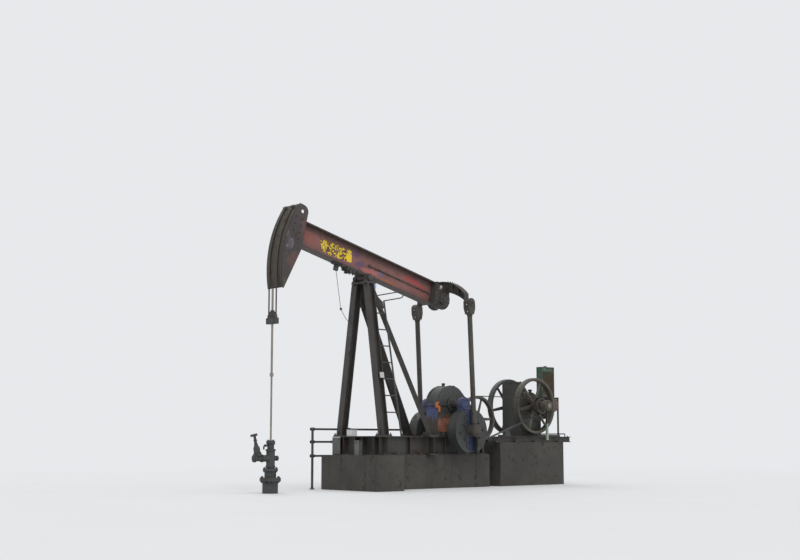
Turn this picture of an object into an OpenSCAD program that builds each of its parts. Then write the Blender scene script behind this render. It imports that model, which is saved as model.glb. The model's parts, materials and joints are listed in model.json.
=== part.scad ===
// Conventional beam pumping unit with a single-cylinder flywheel engine and its wellhead.
// Millimetres. X runs from the saddle axis towards the engine, Z is up, the ground is z = 0.
// It is drawn at the top of its stroke: head end up, cranks down.

/* [Layout] */
// Height of the saddle bearing axis above the ground
pivot_h = 4050; // [3900:10:4200]
// Height of the top of the steel base above the ground
base_top = 1020; // [980:10:1060]
// Angle of the walking beam at the top of the stroke, head end up
rest_tilt = 14.5; // [12:0.5:16]
// Distance of the crankshaft from the saddle axis
crankshaft_x = 2210; // [2150:10:2280]
// Height of the crankshaft above the ground
crankshaft_h = 1660; // [1640:10:1700]
// Crank radius, from the crankshaft to the wrist pin
crank_r = 530; // [480:10:560]
// Distance from the middle plane to the middle of each pitman
pitman_y = 770; // [760:5:800]

/* [Walking beam] */
// Radius of the head's arc, about the saddle axis
head_r = 2134; // [2000:1:2200]
// Distance from the saddle axis to the tail bearing, along the beam
tail_arm = 2010; // [1950:5:2060]
// Height of the tail bearing above the saddle axis, square to the beam
tail_rise = 250; // [220:5:280]
// Depth of the beam
beam_depth = 480; // [420:5:520]
// Height of the beam's underside above the saddle axis
beam_lift = 60; // [55:1:80]
// Width of the beam's flanges
beam_width = 200; // [160:5:220]
// Thickness of the beam's flanges
beam_flange = 26; // [16:1:32]
// Thickness of the beam's web
beam_web = 16; // [10:1:24]

/* [Horsehead] */
// Width of the head over its side plates
head_width = 440; // [400:5:460]
// Thickness of the side plates
head_plate = 14; // [8:1:20]
// Thickness of the arc plate
face_plate = 20; // [12:1:28]
// Height of the head's lower end below the saddle axis, square to the beam
head_drop = 880; // [840:5:900]
// Height of the arc plate's upper end above the saddle axis, square to the beam
head_rise = 735; // [715:5:760]
// Diameter of the wirelines
wire_d = 28; // [22:1:32]
// Distance from the middle plane to each wireline
wire_y = 110; // [90:5:130]

/* [Carrier and rod] */
// Height of the underside of the carrier bar above the ground
carrier_h = 3030; // [2980:10:3080]
// Depth of the carrier bar
carrier_depth = 110; // [90:5:130]
// Length of the carrier bar
carrier_len = 270; // [250:5:320]
// Diameter of the polished rod
rod_d = 34; // [30:1:38]
// Diameter of the upper rod
upper_rod_d = 40; // [38:1:46]
// Height of the rod coupling above the ground
coupling_h = 2080; // [2070:5:2140]

/* [Samson post] */
// Depth and width of the front legs' section
leg_size = 150; // [120:5:160]
// Spread of the front legs' feet from the middle plane
front_foot_y = 620; // [580:5:660]
// Spread of the front legs' tops from the middle plane
front_top_y = 174; // [166:1:184]
// Depth of the rear legs' section
rear_leg_depth = 180; // [160:5:190]
// Width of the rear legs' section
rear_leg_width = 90; // [80:5:100]
// Distance of the rear feet from the saddle axis
rear_foot_x = 1490; // [1440:10:1520]
// Spread of the rear feet from the middle plane
rear_foot_y = 325; // [310:5:330]
// Pitch of the ladder's rungs
rung_pitch = 316; // [290:1:330]

/* [Base] */
// Depth of the base beams
rail_depth = 360; // [320:10:400]
// Distance from the middle plane to each base beam
rail_y = 200; // [190:5:210]
// Width of the base beams' flanges
rail_width = 150; // [130:5:160]
// Length of the front cross beam
front_beam_len = 1520; // [1450:10:1600]
// Width of the foundation under the front cross beam
found_wide = 1660; // [1620:10:1720]
// Width of the foundation under the base beams
found_narrow = 600; // [580:10:640]

/* [Reducer and belt] */
// Radius of the reducer's domed housing
dome_r = 370; // [350:5:390]
// Width of the reducer's housing
reducer_w = 390; // [350:10:420]
// Distance of the input shaft from the crankshaft, along the base
input_run = 560; // [550:5:590]
// Height of the crankshaft above the input shaft
input_drop = 290; // [270:5:310]
// Radius of the reducer's sheave
sheave_r = 470; // [440:5:480]
// Width of the sheaves
sheave_w = 100; // [80:5:104]
// Distance of the belt's middle from the middle plane, near side
belt_y = 340; // [335:1:345]
// Radius of the engine's pulley
pulley_r = 170; // [140:5:200]

/* [Engine] */
// Distance of the engine's crankshaft from the saddle axis
engine_x = 4710; // [4650:10:4800]
// Height of the engine's crankshaft above the ground
engine_h = 1675; // [1660:5:1720]
// Radius of the flywheels
flywheel_r = 600; // [560:5:620]
// Width of the flywheels' rims
flywheel_w = 130; // [100:5:140]
// Place of the near flywheel's middle across the unit
near_flywheel_y = -170; // [-175:5:-160]
// Place of the far flywheel's middle across the unit
far_flywheel_y = 600; // [580:5:640]

/* [Hidden] */

// Clearances
seat = 0.2;
run_gap = 0.1;
belt_gap = 0.5;
rod_gap = 0.5;
pin_gap = 0.5;
wire_seat = 0.2;
big = 9000;

// Linkage, worked out from the layout: at the top of the stroke the tail bearing,
// the crankshaft and the wrist pin lie on one line.
tail_x = tail_arm * cos(rest_tilt) + tail_rise * sin(rest_tilt);
tail_z = pivot_h - tail_arm * sin(rest_tilt) + tail_rise * cos(rest_tilt);
tail_to_crank = norm([crankshaft_x - tail_x, crankshaft_h - tail_z]);
down_x = (crankshaft_x - tail_x) / tail_to_crank;
down_z = (crankshaft_h - tail_z) / tail_to_crank;
wrist_x = crankshaft_x + crank_r * down_x;
input_x = crankshaft_x + input_run;
input_h = crankshaft_h - input_drop;
wrist_z = crankshaft_h + crank_r * down_z;
crank_lean = -atan2(down_x, -down_z);

// Walking beam
beam_end = tail_arm - 255;
beam_front = -head_r + 234;
end_plate_t = 25;
beam_top = beam_lift + beam_depth;
wire_x = -(head_r + wire_seat + wire_d / 2);
saddle_r = 40;
saddle_half = 110;
saddle_hub_r = 60;
bearing_in = 125;
bearing_out = 205;
bearing_r = 72;
cap_top = pivot_h - 76;
cap_t = 36;
cap_bottom = cap_top - cap_t;
cap_front = -110;
cap_back = 150;
cap_half = front_top_y + 44;

// Horsehead
head_pin = [-head_r + 269, 640];
head_lobe_r = 128;
head_hole_r = 34;
face_in = head_r - face_plate;
// Least gap between the stiffener inside the head and the arc plate
frame_gap = 5;
side_in = head_width / 2 - head_plate;
face_low = asin(head_drop / head_r);
face_high = asin(head_rise / head_r);
wire_anchor = 19;

// Tail bearing and equalizer
hub_r = 215;
hub_half = 145;
tail_pin_r = 55;
cheek_in = 150;
cheek_out = 182;
eq_back = 130;
eq_wide = 130;
eq_drop = 119;
eq_end = 695;
arch_r = 956;
arch_top = 373;
arch_in_r = 1205;
arch_bottom = 152;
pitman_r = 50;
pitman_head_r = 92;
pitman_head_len = 110;
pitman_neck = 230;
pitman_half = 75;
big_end_r = 125;
pin_x = tail_x + eq_back;
pin_z = tail_z - eq_drop;
pitman_lean = atan2(pin_x - wrist_x, pin_z - wrist_z);
pitman_len = norm([pin_x - wrist_x, pin_z - wrist_z]);

// Cranks
crank_in = 460;
crank_out = 570;
crank_w = 250;
crank_len = 960;
crank_hub_r = 135;
crankshaft_r = 80;
wrist_r = 60;
weight_in = 450;
weight_out = 690;
weight_r = 440;
weight_c = 545;
wrist_face = pitman_y - pitman_half - pin_gap;

// Base
foot_t = 24;
leg_top = cap_bottom;
leg_bottom = base_top + foot_t;
rail_top_z = base_top;
found_top = base_top - rail_depth;
rail_end = input_x + 340;
front_beam_w = 220;
engine_block_x0 = engine_x - 1270;
engine_block_x1 = engine_x + 720;

// Shafts
input_r = 35;
engine_r = 45;
belt_t = 18;
belt_w = 76;

module along_y(r, y0, y1)
    translate([0, y0, 0])
        rotate([-90, 0, 0])
            cylinder(h = y1 - y0, r = r, $fn = 96);

module plate_y(y0, y1)
    translate([0, y1, 0])
        rotate([90, 0, 0])
            linear_extrude(height = y1 - y0)
                children();

module i_shape(depth, width, flange, web) {
    square([web, depth], center = true);
    for (s = [-1, 1])
        translate([0, s * (depth - flange) / 2])
            square([width, flange], center = true);
}

module i_beam_x(x0, x1, depth, width, flange, web)
    translate([x0, 0, 0])
        rotate([90, 0, 90])
            linear_extrude(height = x1 - x0)
                i_shape(depth, width, flange, web);

module i_beam_y(y0, y1, depth, width, flange, web)
    plate_y(y0, y1)
        i_shape(depth, width, flange, web);

module box(x, y, z)
    translate([x[0], y[0], z[0]])
        cube([x[1] - x[0], y[1] - y[0], z[1] - z[0]]);

module slab(z0, z1)
    box([-big, big], [-big, big], [z0, z1]);

module strut(p, q, roll = 0) {
    v = q - p;
    run = norm(v);
    translate(p)
        rotate([0, acos(v[2] / run), atan2(v[1], v[0])])
            rotate([0, 0, roll])
                translate([0, 0, -400])
                    linear_extrude(height = run + 800)
                        children();
}

module bar(p, q, r, fn = 24) {
    v = q - p;
    run = norm(v);
    translate(p)
        rotate([0, acos(v[2] / run), atan2(v[1], v[0])])
            cylinder(h = run, r = r, $fn = fn);
}

// Sweeps a profile about the Y axis, between two angles above the -X axis
module arc_xz(a0, a1)
    rotate([90, 0, 0])
        rotate([0, 0, 180 - a1])
            rotate_extrude(angle = a1 - a0, $fn = 360)
                children();

module on_beam()
    translate([0, 0, pivot_h])
        rotate([0, rest_tilt, 0])
            children();

module at_tail()
    translate([tail_x, 0, tail_z])
        children();

module on_crank()
    translate([crankshaft_x, 0, crankshaft_h])
        rotate([0, crank_lean, 0])
            children();

module far_side()
    mirror([0, 1, 0])
        children();

// Base and foundation
module foundation() {
    color([0.42, 0.41, 0.38]) {
        box([-330, 330], [-found_wide / 2, found_wide / 2], [0, found_top]);
        box([330, rail_end + 60], [-found_narrow / 2, found_narrow / 2], [0, found_top]);
        box([engine_block_x0, engine_block_x1], [skid_y0 - 60, skid_y1 + 60], [0, base_top - skid_h]);
    }
}

module skid_rails() {
    color([0.22, 0.2, 0.19])
        for (s = [-1, 1])
            translate([0, s * rail_y, found_top + rail_depth / 2])
                i_beam_x(front_beam_w / 2 + seat, rail_end, rail_depth, rail_width, 18, 12);
}

module cross_beams() {
    inner = rail_y - 6 - seat;
    color([0.27, 0.25, 0.23]) {
        translate([0, 0, found_top + rail_depth / 2])
            i_beam_y(-front_beam_len / 2, front_beam_len / 2, rail_depth, front_beam_w, 20, 14);
        for (s = [-1, 1])
            translate([rear_foot_x, 0, found_top + rail_depth / 2])
                i_beam_y(
                    s > 0 ? rail_y + rail_width / 2 + seat : -rear_foot_y - 105,
                    s > 0 ? rear_foot_y + 105 : -rail_y - rail_width / 2 - seat,
                    rail_depth, front_beam_w, 20, 14
                );
        for (x = [rear_foot_x, rail_end - 200])
            box([x - 60, x + 60], [-rail_y + 75 + seat, rail_y - 75 - seat],
                [found_top + 18, base_top - 18]);
    }
}

module front_leg() {
    color([0.24, 0.2, 0.18]) {
        intersection() {
            strut([0, -front_foot_y, base_top], [0, -front_top_y, cap_bottom])
                i_shape(leg_size, leg_size, 14, 10);
            slab(leg_bottom, leg_top);
        }
        box([-110, 110], [-front_foot_y - 115, -front_foot_y + 115], [base_top, leg_bottom]);
    }
}

module front_leg_near() front_leg();

module front_leg_far() far_side() front_leg();

rear_low = [rear_foot_x, -rear_foot_y, base_top];
rear_high = [33, -front_top_y, cap_bottom];
rear_roll = 53;
rear_web = 9;

module rear_leg() {
    color([0.23, 0.2, 0.18]) {
        intersection() {
            strut(rear_low, rear_high, rear_roll)
                rotate([0, 0, 90])
                    i_shape(rear_leg_depth, rear_leg_width, 12, rear_web);
            box([leg_size / 2 + 4, big], [-big, big], [leg_bottom, leg_top]);
        }
        box([rear_foot_x - 130, rear_foot_x + 130], [-rear_foot_y - 100, -rear_foot_y + 100],
            [base_top, leg_bottom]);
    }
}

module rear_leg_near() rear_leg();

module rear_leg_far() far_side() rear_leg();

module post_cap() {
    color([0.2, 0.18, 0.17]) {
        box([cap_front, cap_back], [-cap_half, cap_half], [cap_bottom, cap_top]);
        difference() {
            for (s = [-1, 1]) {
                y0 = s > 0 ? bearing_in : -bearing_out;
                y1 = s > 0 ? bearing_out : -bearing_in;
                translate([0, 0, pivot_h])
                    along_y(bearing_r, y0, y1);
                box([-bearing_r, bearing_r], [y0, y1], [cap_top, pivot_h]);
                box([cap_front + 5, cap_back - 5], [y0, y1], [cap_top, cap_top + 30]);
            }
            translate([0, 0, pivot_h])
                along_y(saddle_r + run_gap, -cap_half, cap_half);
        }
    }
}

// Ladder on the near front leg, with its hoop
ladder_low_z = base_top + 10;
ladder_top_z = pivot_h - 450;
ladder_low_x = 385;
ladder_top_x = 288;
ladder_out = 64;
ladder_rail_r = 17;
rung_r = 12;
first_rung_z = base_top + 443;
rungs = floor((ladder_top_z - first_rung_z) / rung_pitch) + 1;

function leg_y(z) =
    -front_foot_y + (front_foot_y - front_top_y) * (z - base_top) / (cap_bottom - base_top);
function ladder_x(z) =
    ladder_low_x + (ladder_top_x - ladder_low_x) * (z - ladder_low_z) / (ladder_top_z - ladder_low_z);
function ladder_point(z) = [ladder_x(z), leg_y(z) - ladder_out, z];

module ladder() {
    color([0.22, 0.21, 0.2]) {
        bar(ladder_point(ladder_low_z), ladder_point(ladder_top_z), ladder_rail_r);
        for (i = [0 : rungs - 1]) {
            z = first_rung_z + i * rung_pitch;
            bar([leg_size / 2 + seat, leg_y(z) - ladder_out, z], ladder_point(z), rung_r);
        }
    }
}

// The hoop is a twelve-sided bar, bent in one plane, from the web of the rear leg out and back to the
// top of the ladder's rail
hoop_r = 11;
hoop_z = pivot_h - 345;
hoop_reach = 480;
hoop_tail = 12;
hoop_aim = [250, -340, 22];
ladder_run = ladder_point(ladder_top_z) - ladder_point(ladder_low_z);
ladder_dir = ladder_run / norm(ladder_run);
rear_run = rear_high - rear_low;
rear_dir = rear_run / norm(rear_run);
rear_theta = acos(rear_dir[2]);
rear_phi = atan2(rear_dir[1], rear_dir[0]);
rear_open = cos(rear_roll) * [-sin(rear_phi), cos(rear_phi), 0]
    - sin(rear_roll) * [cos(rear_theta) * cos(rear_phi), cos(rear_theta) * sin(rear_phi), -sin(rear_theta)];
hoop_flat = hoop_aim - (hoop_aim * ladder_dir) * ladder_dir;
hoop_out = hoop_flat / norm(hoop_flat);
hoop_from = rear_low + rear_run * (hoop_z - base_top) / rear_run[2];
hoop_span = ladder_point(ladder_top_z) + (hoop_r + seat) * ladder_dir - hoop_from;
hoop_side = hoop_span - (hoop_span * hoop_out) * hoop_out;
hoop_bend = norm(hoop_side) / 2;
hoop_tilt = acos(hoop_out[2]);
hoop_turn = atan2(hoop_out[1], hoop_out[0]);
hoop_roll = atan2(
    hoop_side * [-sin(hoop_turn), cos(hoop_turn), 0],
    hoop_side * [cos(hoop_tilt) * cos(hoop_turn), cos(hoop_tilt) * sin(hoop_turn), -sin(hoop_tilt)]
);
hoop_skew = acos(hoop_out * rear_open);
hoop_start = (rear_web / 2 + seat + hoop_r * sin(hoop_skew)) / cos(hoop_skew);
hoop_stop = hoop_span * hoop_out - hoop_tail;

module ladder_hoop() {
    color([0.2, 0.2, 0.2])
        translate(hoop_from)
            rotate([0, hoop_tilt, hoop_turn])
                rotate([0, 0, hoop_roll]) {
                    translate([0, 0, hoop_start])
                        cylinder(h = hoop_reach - hoop_start, r = hoop_r, $fn = 12);
                    translate([2 * hoop_bend, 0, hoop_stop])
                        cylinder(h = hoop_reach - hoop_stop, r = hoop_r, $fn = 12);
                    translate([hoop_bend, 0, hoop_reach])
                        rotate([90, 0, 0])
                            rotate_extrude(angle = 180, $fn = 64)
                                translate([hoop_bend, 0])
                                    circle(r = hoop_r, $fn = 12);
                }
}

// Gear reducer
function tangent_dir(p, q, rp, rq, side) =
    atan2(q[1] - p[1], q[0] - p[0]) + side * acos((rp - rq) / norm(q - p));

module wrap(p, q, rp, rq) {
    up = tangent_dir(p, q, rp, rq, 1);
    low = tangent_dir(p, q, rp, rq, -1);
    translate(p)
        circle(r = rp, $fn = 128);
    translate(q)
        circle(r = rq, $fn = 96);
    polygon([
        p + rp * [cos(up), sin(up)],
        q + rq * [cos(up), sin(up)],
        q + rq * [cos(low), sin(low)],
        p + rp * [cos(low), sin(low)]
    ]);
}

skid_y0 = -290;
skid_y1 = 770;
skid_h = 120;
crank_c = [crankshaft_x, crankshaft_h];
input_c = [input_x, input_h];
engine_c = [engine_x, engine_h];
reducer_low = base_top + 90;
input_case_r = 185;

module reducer_housing() {
    color([0.26, 0.27, 0.25])
        difference() {
            union() {
                plate_y(-reducer_w / 2, reducer_w / 2)
                    intersection() {
                        wrap(crank_c, input_c, dome_r, input_case_r);
                        translate([0, reducer_low])
                            square(big);
                    }
                box([crankshaft_x - dome_r, crankshaft_x], [-reducer_w / 2, reducer_w / 2],
                    [reducer_low, crankshaft_h]);
                box([crankshaft_x, input_x + input_case_r], [-reducer_w / 2, reducer_w / 2],
                    [reducer_low, input_h]);
                box([crankshaft_x - dome_r - 40, crankshaft_x + dome_r + 20],
                    [-reducer_w / 2 - 22, reducer_w / 2 + 22],
                    [crankshaft_h - 24, crankshaft_h + 24]);
                translate([crankshaft_x, 0, crankshaft_h])
                    along_y(150, -reducer_w / 2 - 30, reducer_w / 2 + 30);
            }
            translate([crankshaft_x, 0, crankshaft_h])
                along_y(crankshaft_r + run_gap, -big, big);
            translate([input_x, 0, input_h])
                along_y(input_r + run_gap, -big, big);
        }
}

module reducer_base() {
    color([0.25, 0.22, 0.2]) {
        box([crankshaft_x - 430, input_x + 210], [-270, 270], [base_top, base_top + 40]);
        box([crankshaft_x - 400, input_x + 170], [-245, 245], [base_top + 40, reducer_low]);
    }
}

module drive_belt() {
    sheave_in = sheave_r + belt_gap;
    pulley_in = pulley_r + belt_gap;
    color([0.08, 0.08, 0.08])
        plate_y(-belt_y - belt_w / 2, -belt_y + belt_w / 2)
            difference() {
                wrap(input_c, engine_c, sheave_in + belt_t, pulley_in + belt_t);
                wrap(input_c, engine_c, sheave_in, pulley_in);
            }
}

// Engine
skid_x0 = engine_x - 1540;
skid_x1 = engine_x + 1050;
case_y0 = -60;
case_y1 = 490;
cylinder_y = (case_y0 + case_y1) / 2;
cylinder_z = engine_h - 60;
cylinder_r = 190;

module engine_skid() {
    color([0.25, 0.23, 0.21]) {
        for (y = [skid_y0 + 45, skid_y1 - 45])
            translate([0, y, base_top - skid_h / 2])
                i_beam_x(skid_x0, skid_x1, skid_h, 90, 12, 8);
        for (x = [skid_x0 + 90, skid_x0 + 530, skid_x0 + 1000, skid_x0 + 1830, skid_x1 - 160])
            box([x - 60, x + 60], [skid_y0 + 90 + seat, skid_y1 - 90 - seat],
                [base_top - skid_h, base_top - 12]);
        box([engine_x - 430, engine_x + 930], [case_y0 - 20, case_y1 + 20],
            [base_top - 12 + seat, base_top + 40]);
        box([engine_x + 220, engine_x + 260], [skid_y0 - 40, skid_y0 - seat], [base_top - 70, base_top + 510]);
    }
}

hopper_top = engine_h + 515;

module crankcase() {
    color([0.24, 0.22, 0.2])
        difference() {
            union() {
                box([engine_x - 300, engine_x + 330], [case_y0, case_y1],
                    [base_top + 40, engine_h]);
                translate([engine_x, 0, engine_h])
                    along_y(300, case_y0, case_y1);
                box([engine_x - 300, engine_x - 20], [case_y0 + 190, case_y1],
                    [engine_h, hopper_top]);
            }
            translate([engine_x, 0, engine_h])
                along_y(engine_r + run_gap, -big, big);
        }
}

module engine_cylinder() {
    color([0.27, 0.24, 0.2]) {
        translate([engine_x + 330 + seat, cylinder_y, cylinder_z])
            rotate([0, 90, 0])
                cylinder(h = 430, r = cylinder_r, $fn = 96);
        translate([engine_x + 760 + seat, cylinder_y, cylinder_z])
            rotate([0, 90, 0])
                cylinder(h = 70, r = 160, $fn = 96);
    }
}

tank_x = [engine_x + 530, engine_x + 915];
tank_y = [70, 210];
tank_top = engine_h + 875;
stand_y = [case_y0 + 4, case_y1 - 4];
stand_w = 30;
tank_low = engine_h + 205;

module cooling_tank() {
    color([0.2, 0.33, 0.28]) {
        box(tank_x, tank_y, [tank_low, tank_top]);
    }
}

module tank_stand() {
    half = stand_w / 2;
    color([0.25, 0.25, 0.24])
        for (x = [tank_x[0] + half, tank_x[1] - half]) {
            for (y = stand_y)
                box([x - half, x + half], [y - half, y + half], [base_top + 40, tank_low - 40]);
            box([x - half, x + half], [stand_y[0] - half, stand_y[1] + half],
                [tank_low - 40, tank_low]);
        }
}

magneto_r = 150;

module magneto() {
    color([0.25, 0.17, 0.14])
        difference() {
            translate([(tank_x[0] + tank_x[1]) / 2, 0, engine_h + 35])
                along_y(magneto_r, case_y0 - 30, case_y0 + 180);
            translate([engine_x + 300, cylinder_y, cylinder_z])
                rotate([0, 90, 0])
                    cylinder(h = 900, r = cylinder_r + seat, $fn = 96);
        }
}

// Guard rail on the far side
rail_line_y = 950;
rail_posts = [-460, 440, 1340, 2240];
rail_heights = [640, 910, 1155];
rail_r = 20;

module guard_rail() {
    color([0.2, 0.2, 0.19]) {
        for (x = rail_posts)
            translate([x, rail_line_y, 0])
                cylinder(h = rail_heights[2], r = 24, $fn = 32);
        for (z = rail_heights)
            bar([rail_posts[0], rail_line_y, z], [rail_posts[3], rail_line_y, z], rail_r);
    }
}

module rail_brackets() {
    color([0.2, 0.2, 0.19]) {
        box([-30, 30], [front_beam_len / 2 + seat, rail_line_y - rail_r - seat],
            [rail_heights[1] - 25, rail_heights[1] + 25]);
        box([rear_foot_x - 30, rear_foot_x + 30],
            [rear_foot_y + 105 + seat, rail_line_y + 10],
            [rail_heights[0] + rail_r + seat, rail_heights[0] + rail_r + 40]);
    }
}

// Wellhead
well_r = 140;
tee_r = 78;
tee_z = [440, 780];
box_top = 930;
rod_x = wire_x;

module casing_head() {
    color([0.2, 0.2, 0.19])
        translate([rod_x, 0, 0])
            difference() {
                union() {
                    cylinder(h = 250, r = well_r, $fn = 96);
                    translate([0, 0, 215])
                        cylinder(h = 60, r = 190, $fn = 96);
                    cylinder(h = tee_z[0], r = 105, $fn = 96);
                    translate([0, 0, tee_z[0] - 45])
                        cylinder(h = 45, r = 135, $fn = 96);
                }
                translate([0, 0, -1])
                    cylinder(h = tee_z[0] + 2, r = 50, $fn = 96);
            }
}

module pumping_tee() {
    color([0.2, 0.2, 0.2])
        translate([rod_x, 0, 0])
            difference() {
                union() {
                    translate([0, 0, tee_z[0] + seat])
                        cylinder(h = tee_z[1] - tee_z[0] - seat, r = tee_r, $fn = 96);
                    translate([0, 0, 620])
                        rotate([0, -90, 0])
                            cylinder(h = 170, r = 60, $fn = 64);
                }
                translate([0, 0, tee_z[0] - 1])
                    cylinder(h = 400, r = 40, $fn = 96);
            }
}

module stuffing_box() {
    color([0.22, 0.22, 0.22])
        translate([rod_x, 0, 0])
            difference() {
                union() {
                    translate([0, 0, tee_z[1] + seat])
                        cylinder(h = 110, r = 62, $fn = 96);
                    translate([0, 0, box_top - 50])
                        cylinder(h = 50, r = 80, $fn = 96);
                }
                translate([0, 0, tee_z[1] - 1])
                    cylinder(h = 300, r = rod_d / 2 + rod_gap, $fn = 96);
            }
}

module wing_valve() {
    color([0.19, 0.2, 0.2])
        translate([rod_x - 170 - seat, 0, 620]) {
            rotate([0, -90, 0])
                cylinder(h = 200, r = 52, $fn = 64);
            translate([-100, 0, 0])
                rotate([0, -12, 0])
                    cylinder(h = 400, r = 24, $fn = 48);
            translate([-190, 0, 390])
                rotate([0, -12, 0])
                    box([-70, 60], [-16, 16], [0, 40]);
        }
}

module base_boxes() {
    face = -front_beam_w / 2;
    color([0.8, 0.8, 0.78]) {
        box([-70, 70], [240, 380], [base_top, base_top + 110]);
        box([face - 90, face - 4], [-140, 0], [found_top + seat, base_top - 90]);
        box([face - 16, face - seat], [front_beam_len / 2 - 240, front_beam_len / 2 - 10],
            [found_top + 12, base_top - 12]);
    }
}

// Walking beam
module beam() {
    color([0.5, 0.2, 0.15])
        on_beam()
            translate([0, 0, beam_lift + beam_depth / 2])
                i_beam_x(beam_front, beam_end, beam_depth, beam_width, beam_flange, beam_web);
}

module saddle_block() {
    color([0.22, 0.18, 0.17])
        on_beam() {
            along_y(saddle_r, -bearing_out - 20, bearing_out + 20);
            along_y(saddle_hub_r, -saddle_half, saddle_half);
            box([-saddle_hub_r, saddle_hub_r], [-saddle_half, saddle_half], [0, beam_lift - 30]);
            box([-240, 240], [-saddle_half, saddle_half], [beam_lift - 30, beam_lift - seat]);
        }
}

module tail_bearing() {
    plate_x0 = beam_end + seat;
    plate_x1 = beam_end + end_plate_t;
    color([0.25, 0.19, 0.17])
        on_beam() {
            box([plate_x0, plate_x1], [-cheek_out, cheek_out], [beam_lift, beam_top]);
            translate([tail_arm, 0, tail_rise])
                along_y(tail_pin_r, -cheek_out, cheek_out);
            for (s = [-1, 1]) {
                y0 = s > 0 ? cheek_in : -cheek_out;
                y1 = s > 0 ? cheek_out : -cheek_in;
                translate([tail_arm, 0, tail_rise])
                    along_y(95, y0, y1);
                box([plate_x1, tail_arm], [y0, y1], [tail_rise - 95, tail_rise + 95]);
            }
        }
}

module head_outline() {
    intersection() {
        circle(r = face_in - seat, $fn = 360);
        union() {
            polygon([
                [-head_r + 224, -head_drop], [-head_r + 422, -50],
                [-head_r + 402, 480], [-head_r + 397, head_pin[1]],
                [head_pin[0], head_pin[1] + head_lobe_r], [-head_r + 184, head_rise + 36],
                [-head_r + 94, head_rise], [-head_r - 166, head_rise - 95],
                [-head_r - 166, -head_drop]
            ]);
            translate(head_pin)
                circle(r = head_lobe_r, $fn = 96);
        }
    }
}

module head_side(y0, y1)
    color([0.3, 0.17, 0.15])
        on_beam()
            difference() {
                plate_y(y0, y1)
                    head_outline();
                translate([head_pin[0], 0, head_pin[1]])
                    along_y(head_hole_r, -big, big);
            }

module head_side_near() head_side(-head_width / 2, -side_in);

module head_side_far() head_side(side_in, head_width / 2);

module head_frame() {
    half = side_in - seat;
    stiffener_r = head_r - 144;
    stiffener_low = max(-head_drop + 180, frame_gap - sqrt(pow(face_in, 2) - pow(stiffener_r, 2)));
    color([0.25, 0.16, 0.14])
        on_beam() {
            box([-head_r + 104, -head_r + 384], [-half, half], [beam_top + seat, beam_top + 22]);
            box([-head_r + 74, -head_r + 394], [-half, half], [beam_lift - 22, beam_lift - seat]);
            box([-stiffener_r, -stiffener_r + 15], [-half, half], [stiffener_low, beam_lift - 22]);
        }
}

module head_face() {
    color([0.28, 0.16, 0.14])
        on_beam()
            arc_xz(-face_low, face_high)
                translate([face_in, -head_width / 2])
                    square([face_plate, head_width]);
}

module head_wirelines() {
    color([0.3, 0.28, 0.27])
        on_beam()
            for (s = [-1, 1])
                arc_xz(-rest_tilt, wire_anchor)
                    translate([-wire_x, s * wire_y])
                        circle(r = wire_d / 2, $fn = 24);
}

module grease_line() {
    color([0.15, 0.13, 0.13])
        on_beam() {
            box([90, tail_arm - 310], [-beam_web / 2 - 22, -beam_web / 2 - 6], [280, 296]);
            for (u = [110, 600, 1150, tail_arm - 330])
                box([u - 15, u + 15], [-beam_web / 2 - 22, -beam_web / 2 - seat], [272, 304]);
        }
}

module beam_lug() {
    color([0.2, 0.2, 0.2])
        on_beam() {
            box([-790, -600], [-60, 60], [beam_lift - 30, beam_lift - seat]);
            box([-730, -650], [-30, 30], [beam_lift - 140, beam_lift - 30]);
        }
}

// Equalizer and pitmans
module arch_shape() {
    difference() {
        intersection() {
            translate([0, arch_top - arch_r])
                circle(r = arch_r, $fn = 256);
            translate([-eq_end, -400])
                square([2 * eq_end, 900]);
        }
        translate([0, arch_bottom - arch_in_r])
            circle(r = arch_in_r, $fn = 256);
    }
}

module equalizer() {
    color([0.24, 0.2, 0.17])
        at_tail()
            difference() {
                union() {
                    translate([eq_back - eq_wide / 2, 0, 0])
                        rotate([90, 0, 90])
                            linear_extrude(height = eq_wide)
                                arch_shape();
                    along_y(hub_r, -hub_half, hub_half);
                    box([0, eq_back], [-hub_half, hub_half], [0, arch_bottom + 60]);
                }
                along_y(tail_pin_r + run_gap, -big, big);
            }
}

module pitman_head() {
    circle(r = pitman_head_r, $fn = 96);
    polygon([
        [-pitman_head_r, 0], [-pitman_head_r, -pitman_head_len],
        [-pitman_r - 5, -pitman_neck], [pitman_r + 5, -pitman_neck],
        [pitman_head_r, -pitman_head_len], [pitman_head_r, 0]
    ]);
}

module pitman() {
    color([0.23, 0.21, 0.18]) {
        translate([0, -pitman_y, 0]) {
            translate([pin_x, 0, pin_z])
                rotate([0, pitman_lean, 0]) {
                    plate_y(-pitman_half, pitman_half)
                        pitman_head();
                    translate([0, 0, -pitman_len])
                        cylinder(h = pitman_len - pitman_neck + 30, r = pitman_r, $fn = 48);
                }
            translate([wrist_x, 0, wrist_z])
                along_y(big_end_r, -pitman_half, pitman_half);
        }
    }
}

module pitman_near() pitman();

module pitman_far() far_side() pitman();

// Cranks
module crankshaft()
    color([0.3, 0.3, 0.3])
        translate([crankshaft_x, 0, crankshaft_h])
            along_y(crankshaft_r, -crank_in + 1, crank_in - 1);

module crank() {
    color([0.2, 0.28, 0.5])
        on_crank() {
            along_y(crank_hub_r, -crank_out, -crank_in + 1 - seat);
            box([-crank_w / 2, crank_w / 2], [-crank_out, -crank_in], [-crank_len, 0]);
            translate([0, 0, -crank_r])
                along_y(wrist_r, -wrist_face, -crank_in);
        }
}

module crank_near() crank();

module crank_far() far_side() crank();

module weights() {
    slot = crank_w / 2 + seat;
    color([0.2, 0.2, 0.2])
        on_crank()
            difference() {
                translate([0, 0, -weight_c])
                    along_y(weight_r, -weight_out, -weight_in);
                box([-slot, slot], [-big, big], [-big, big]);
            }
}

module weights_near() weights();

module weights_far() far_side() weights();

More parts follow.
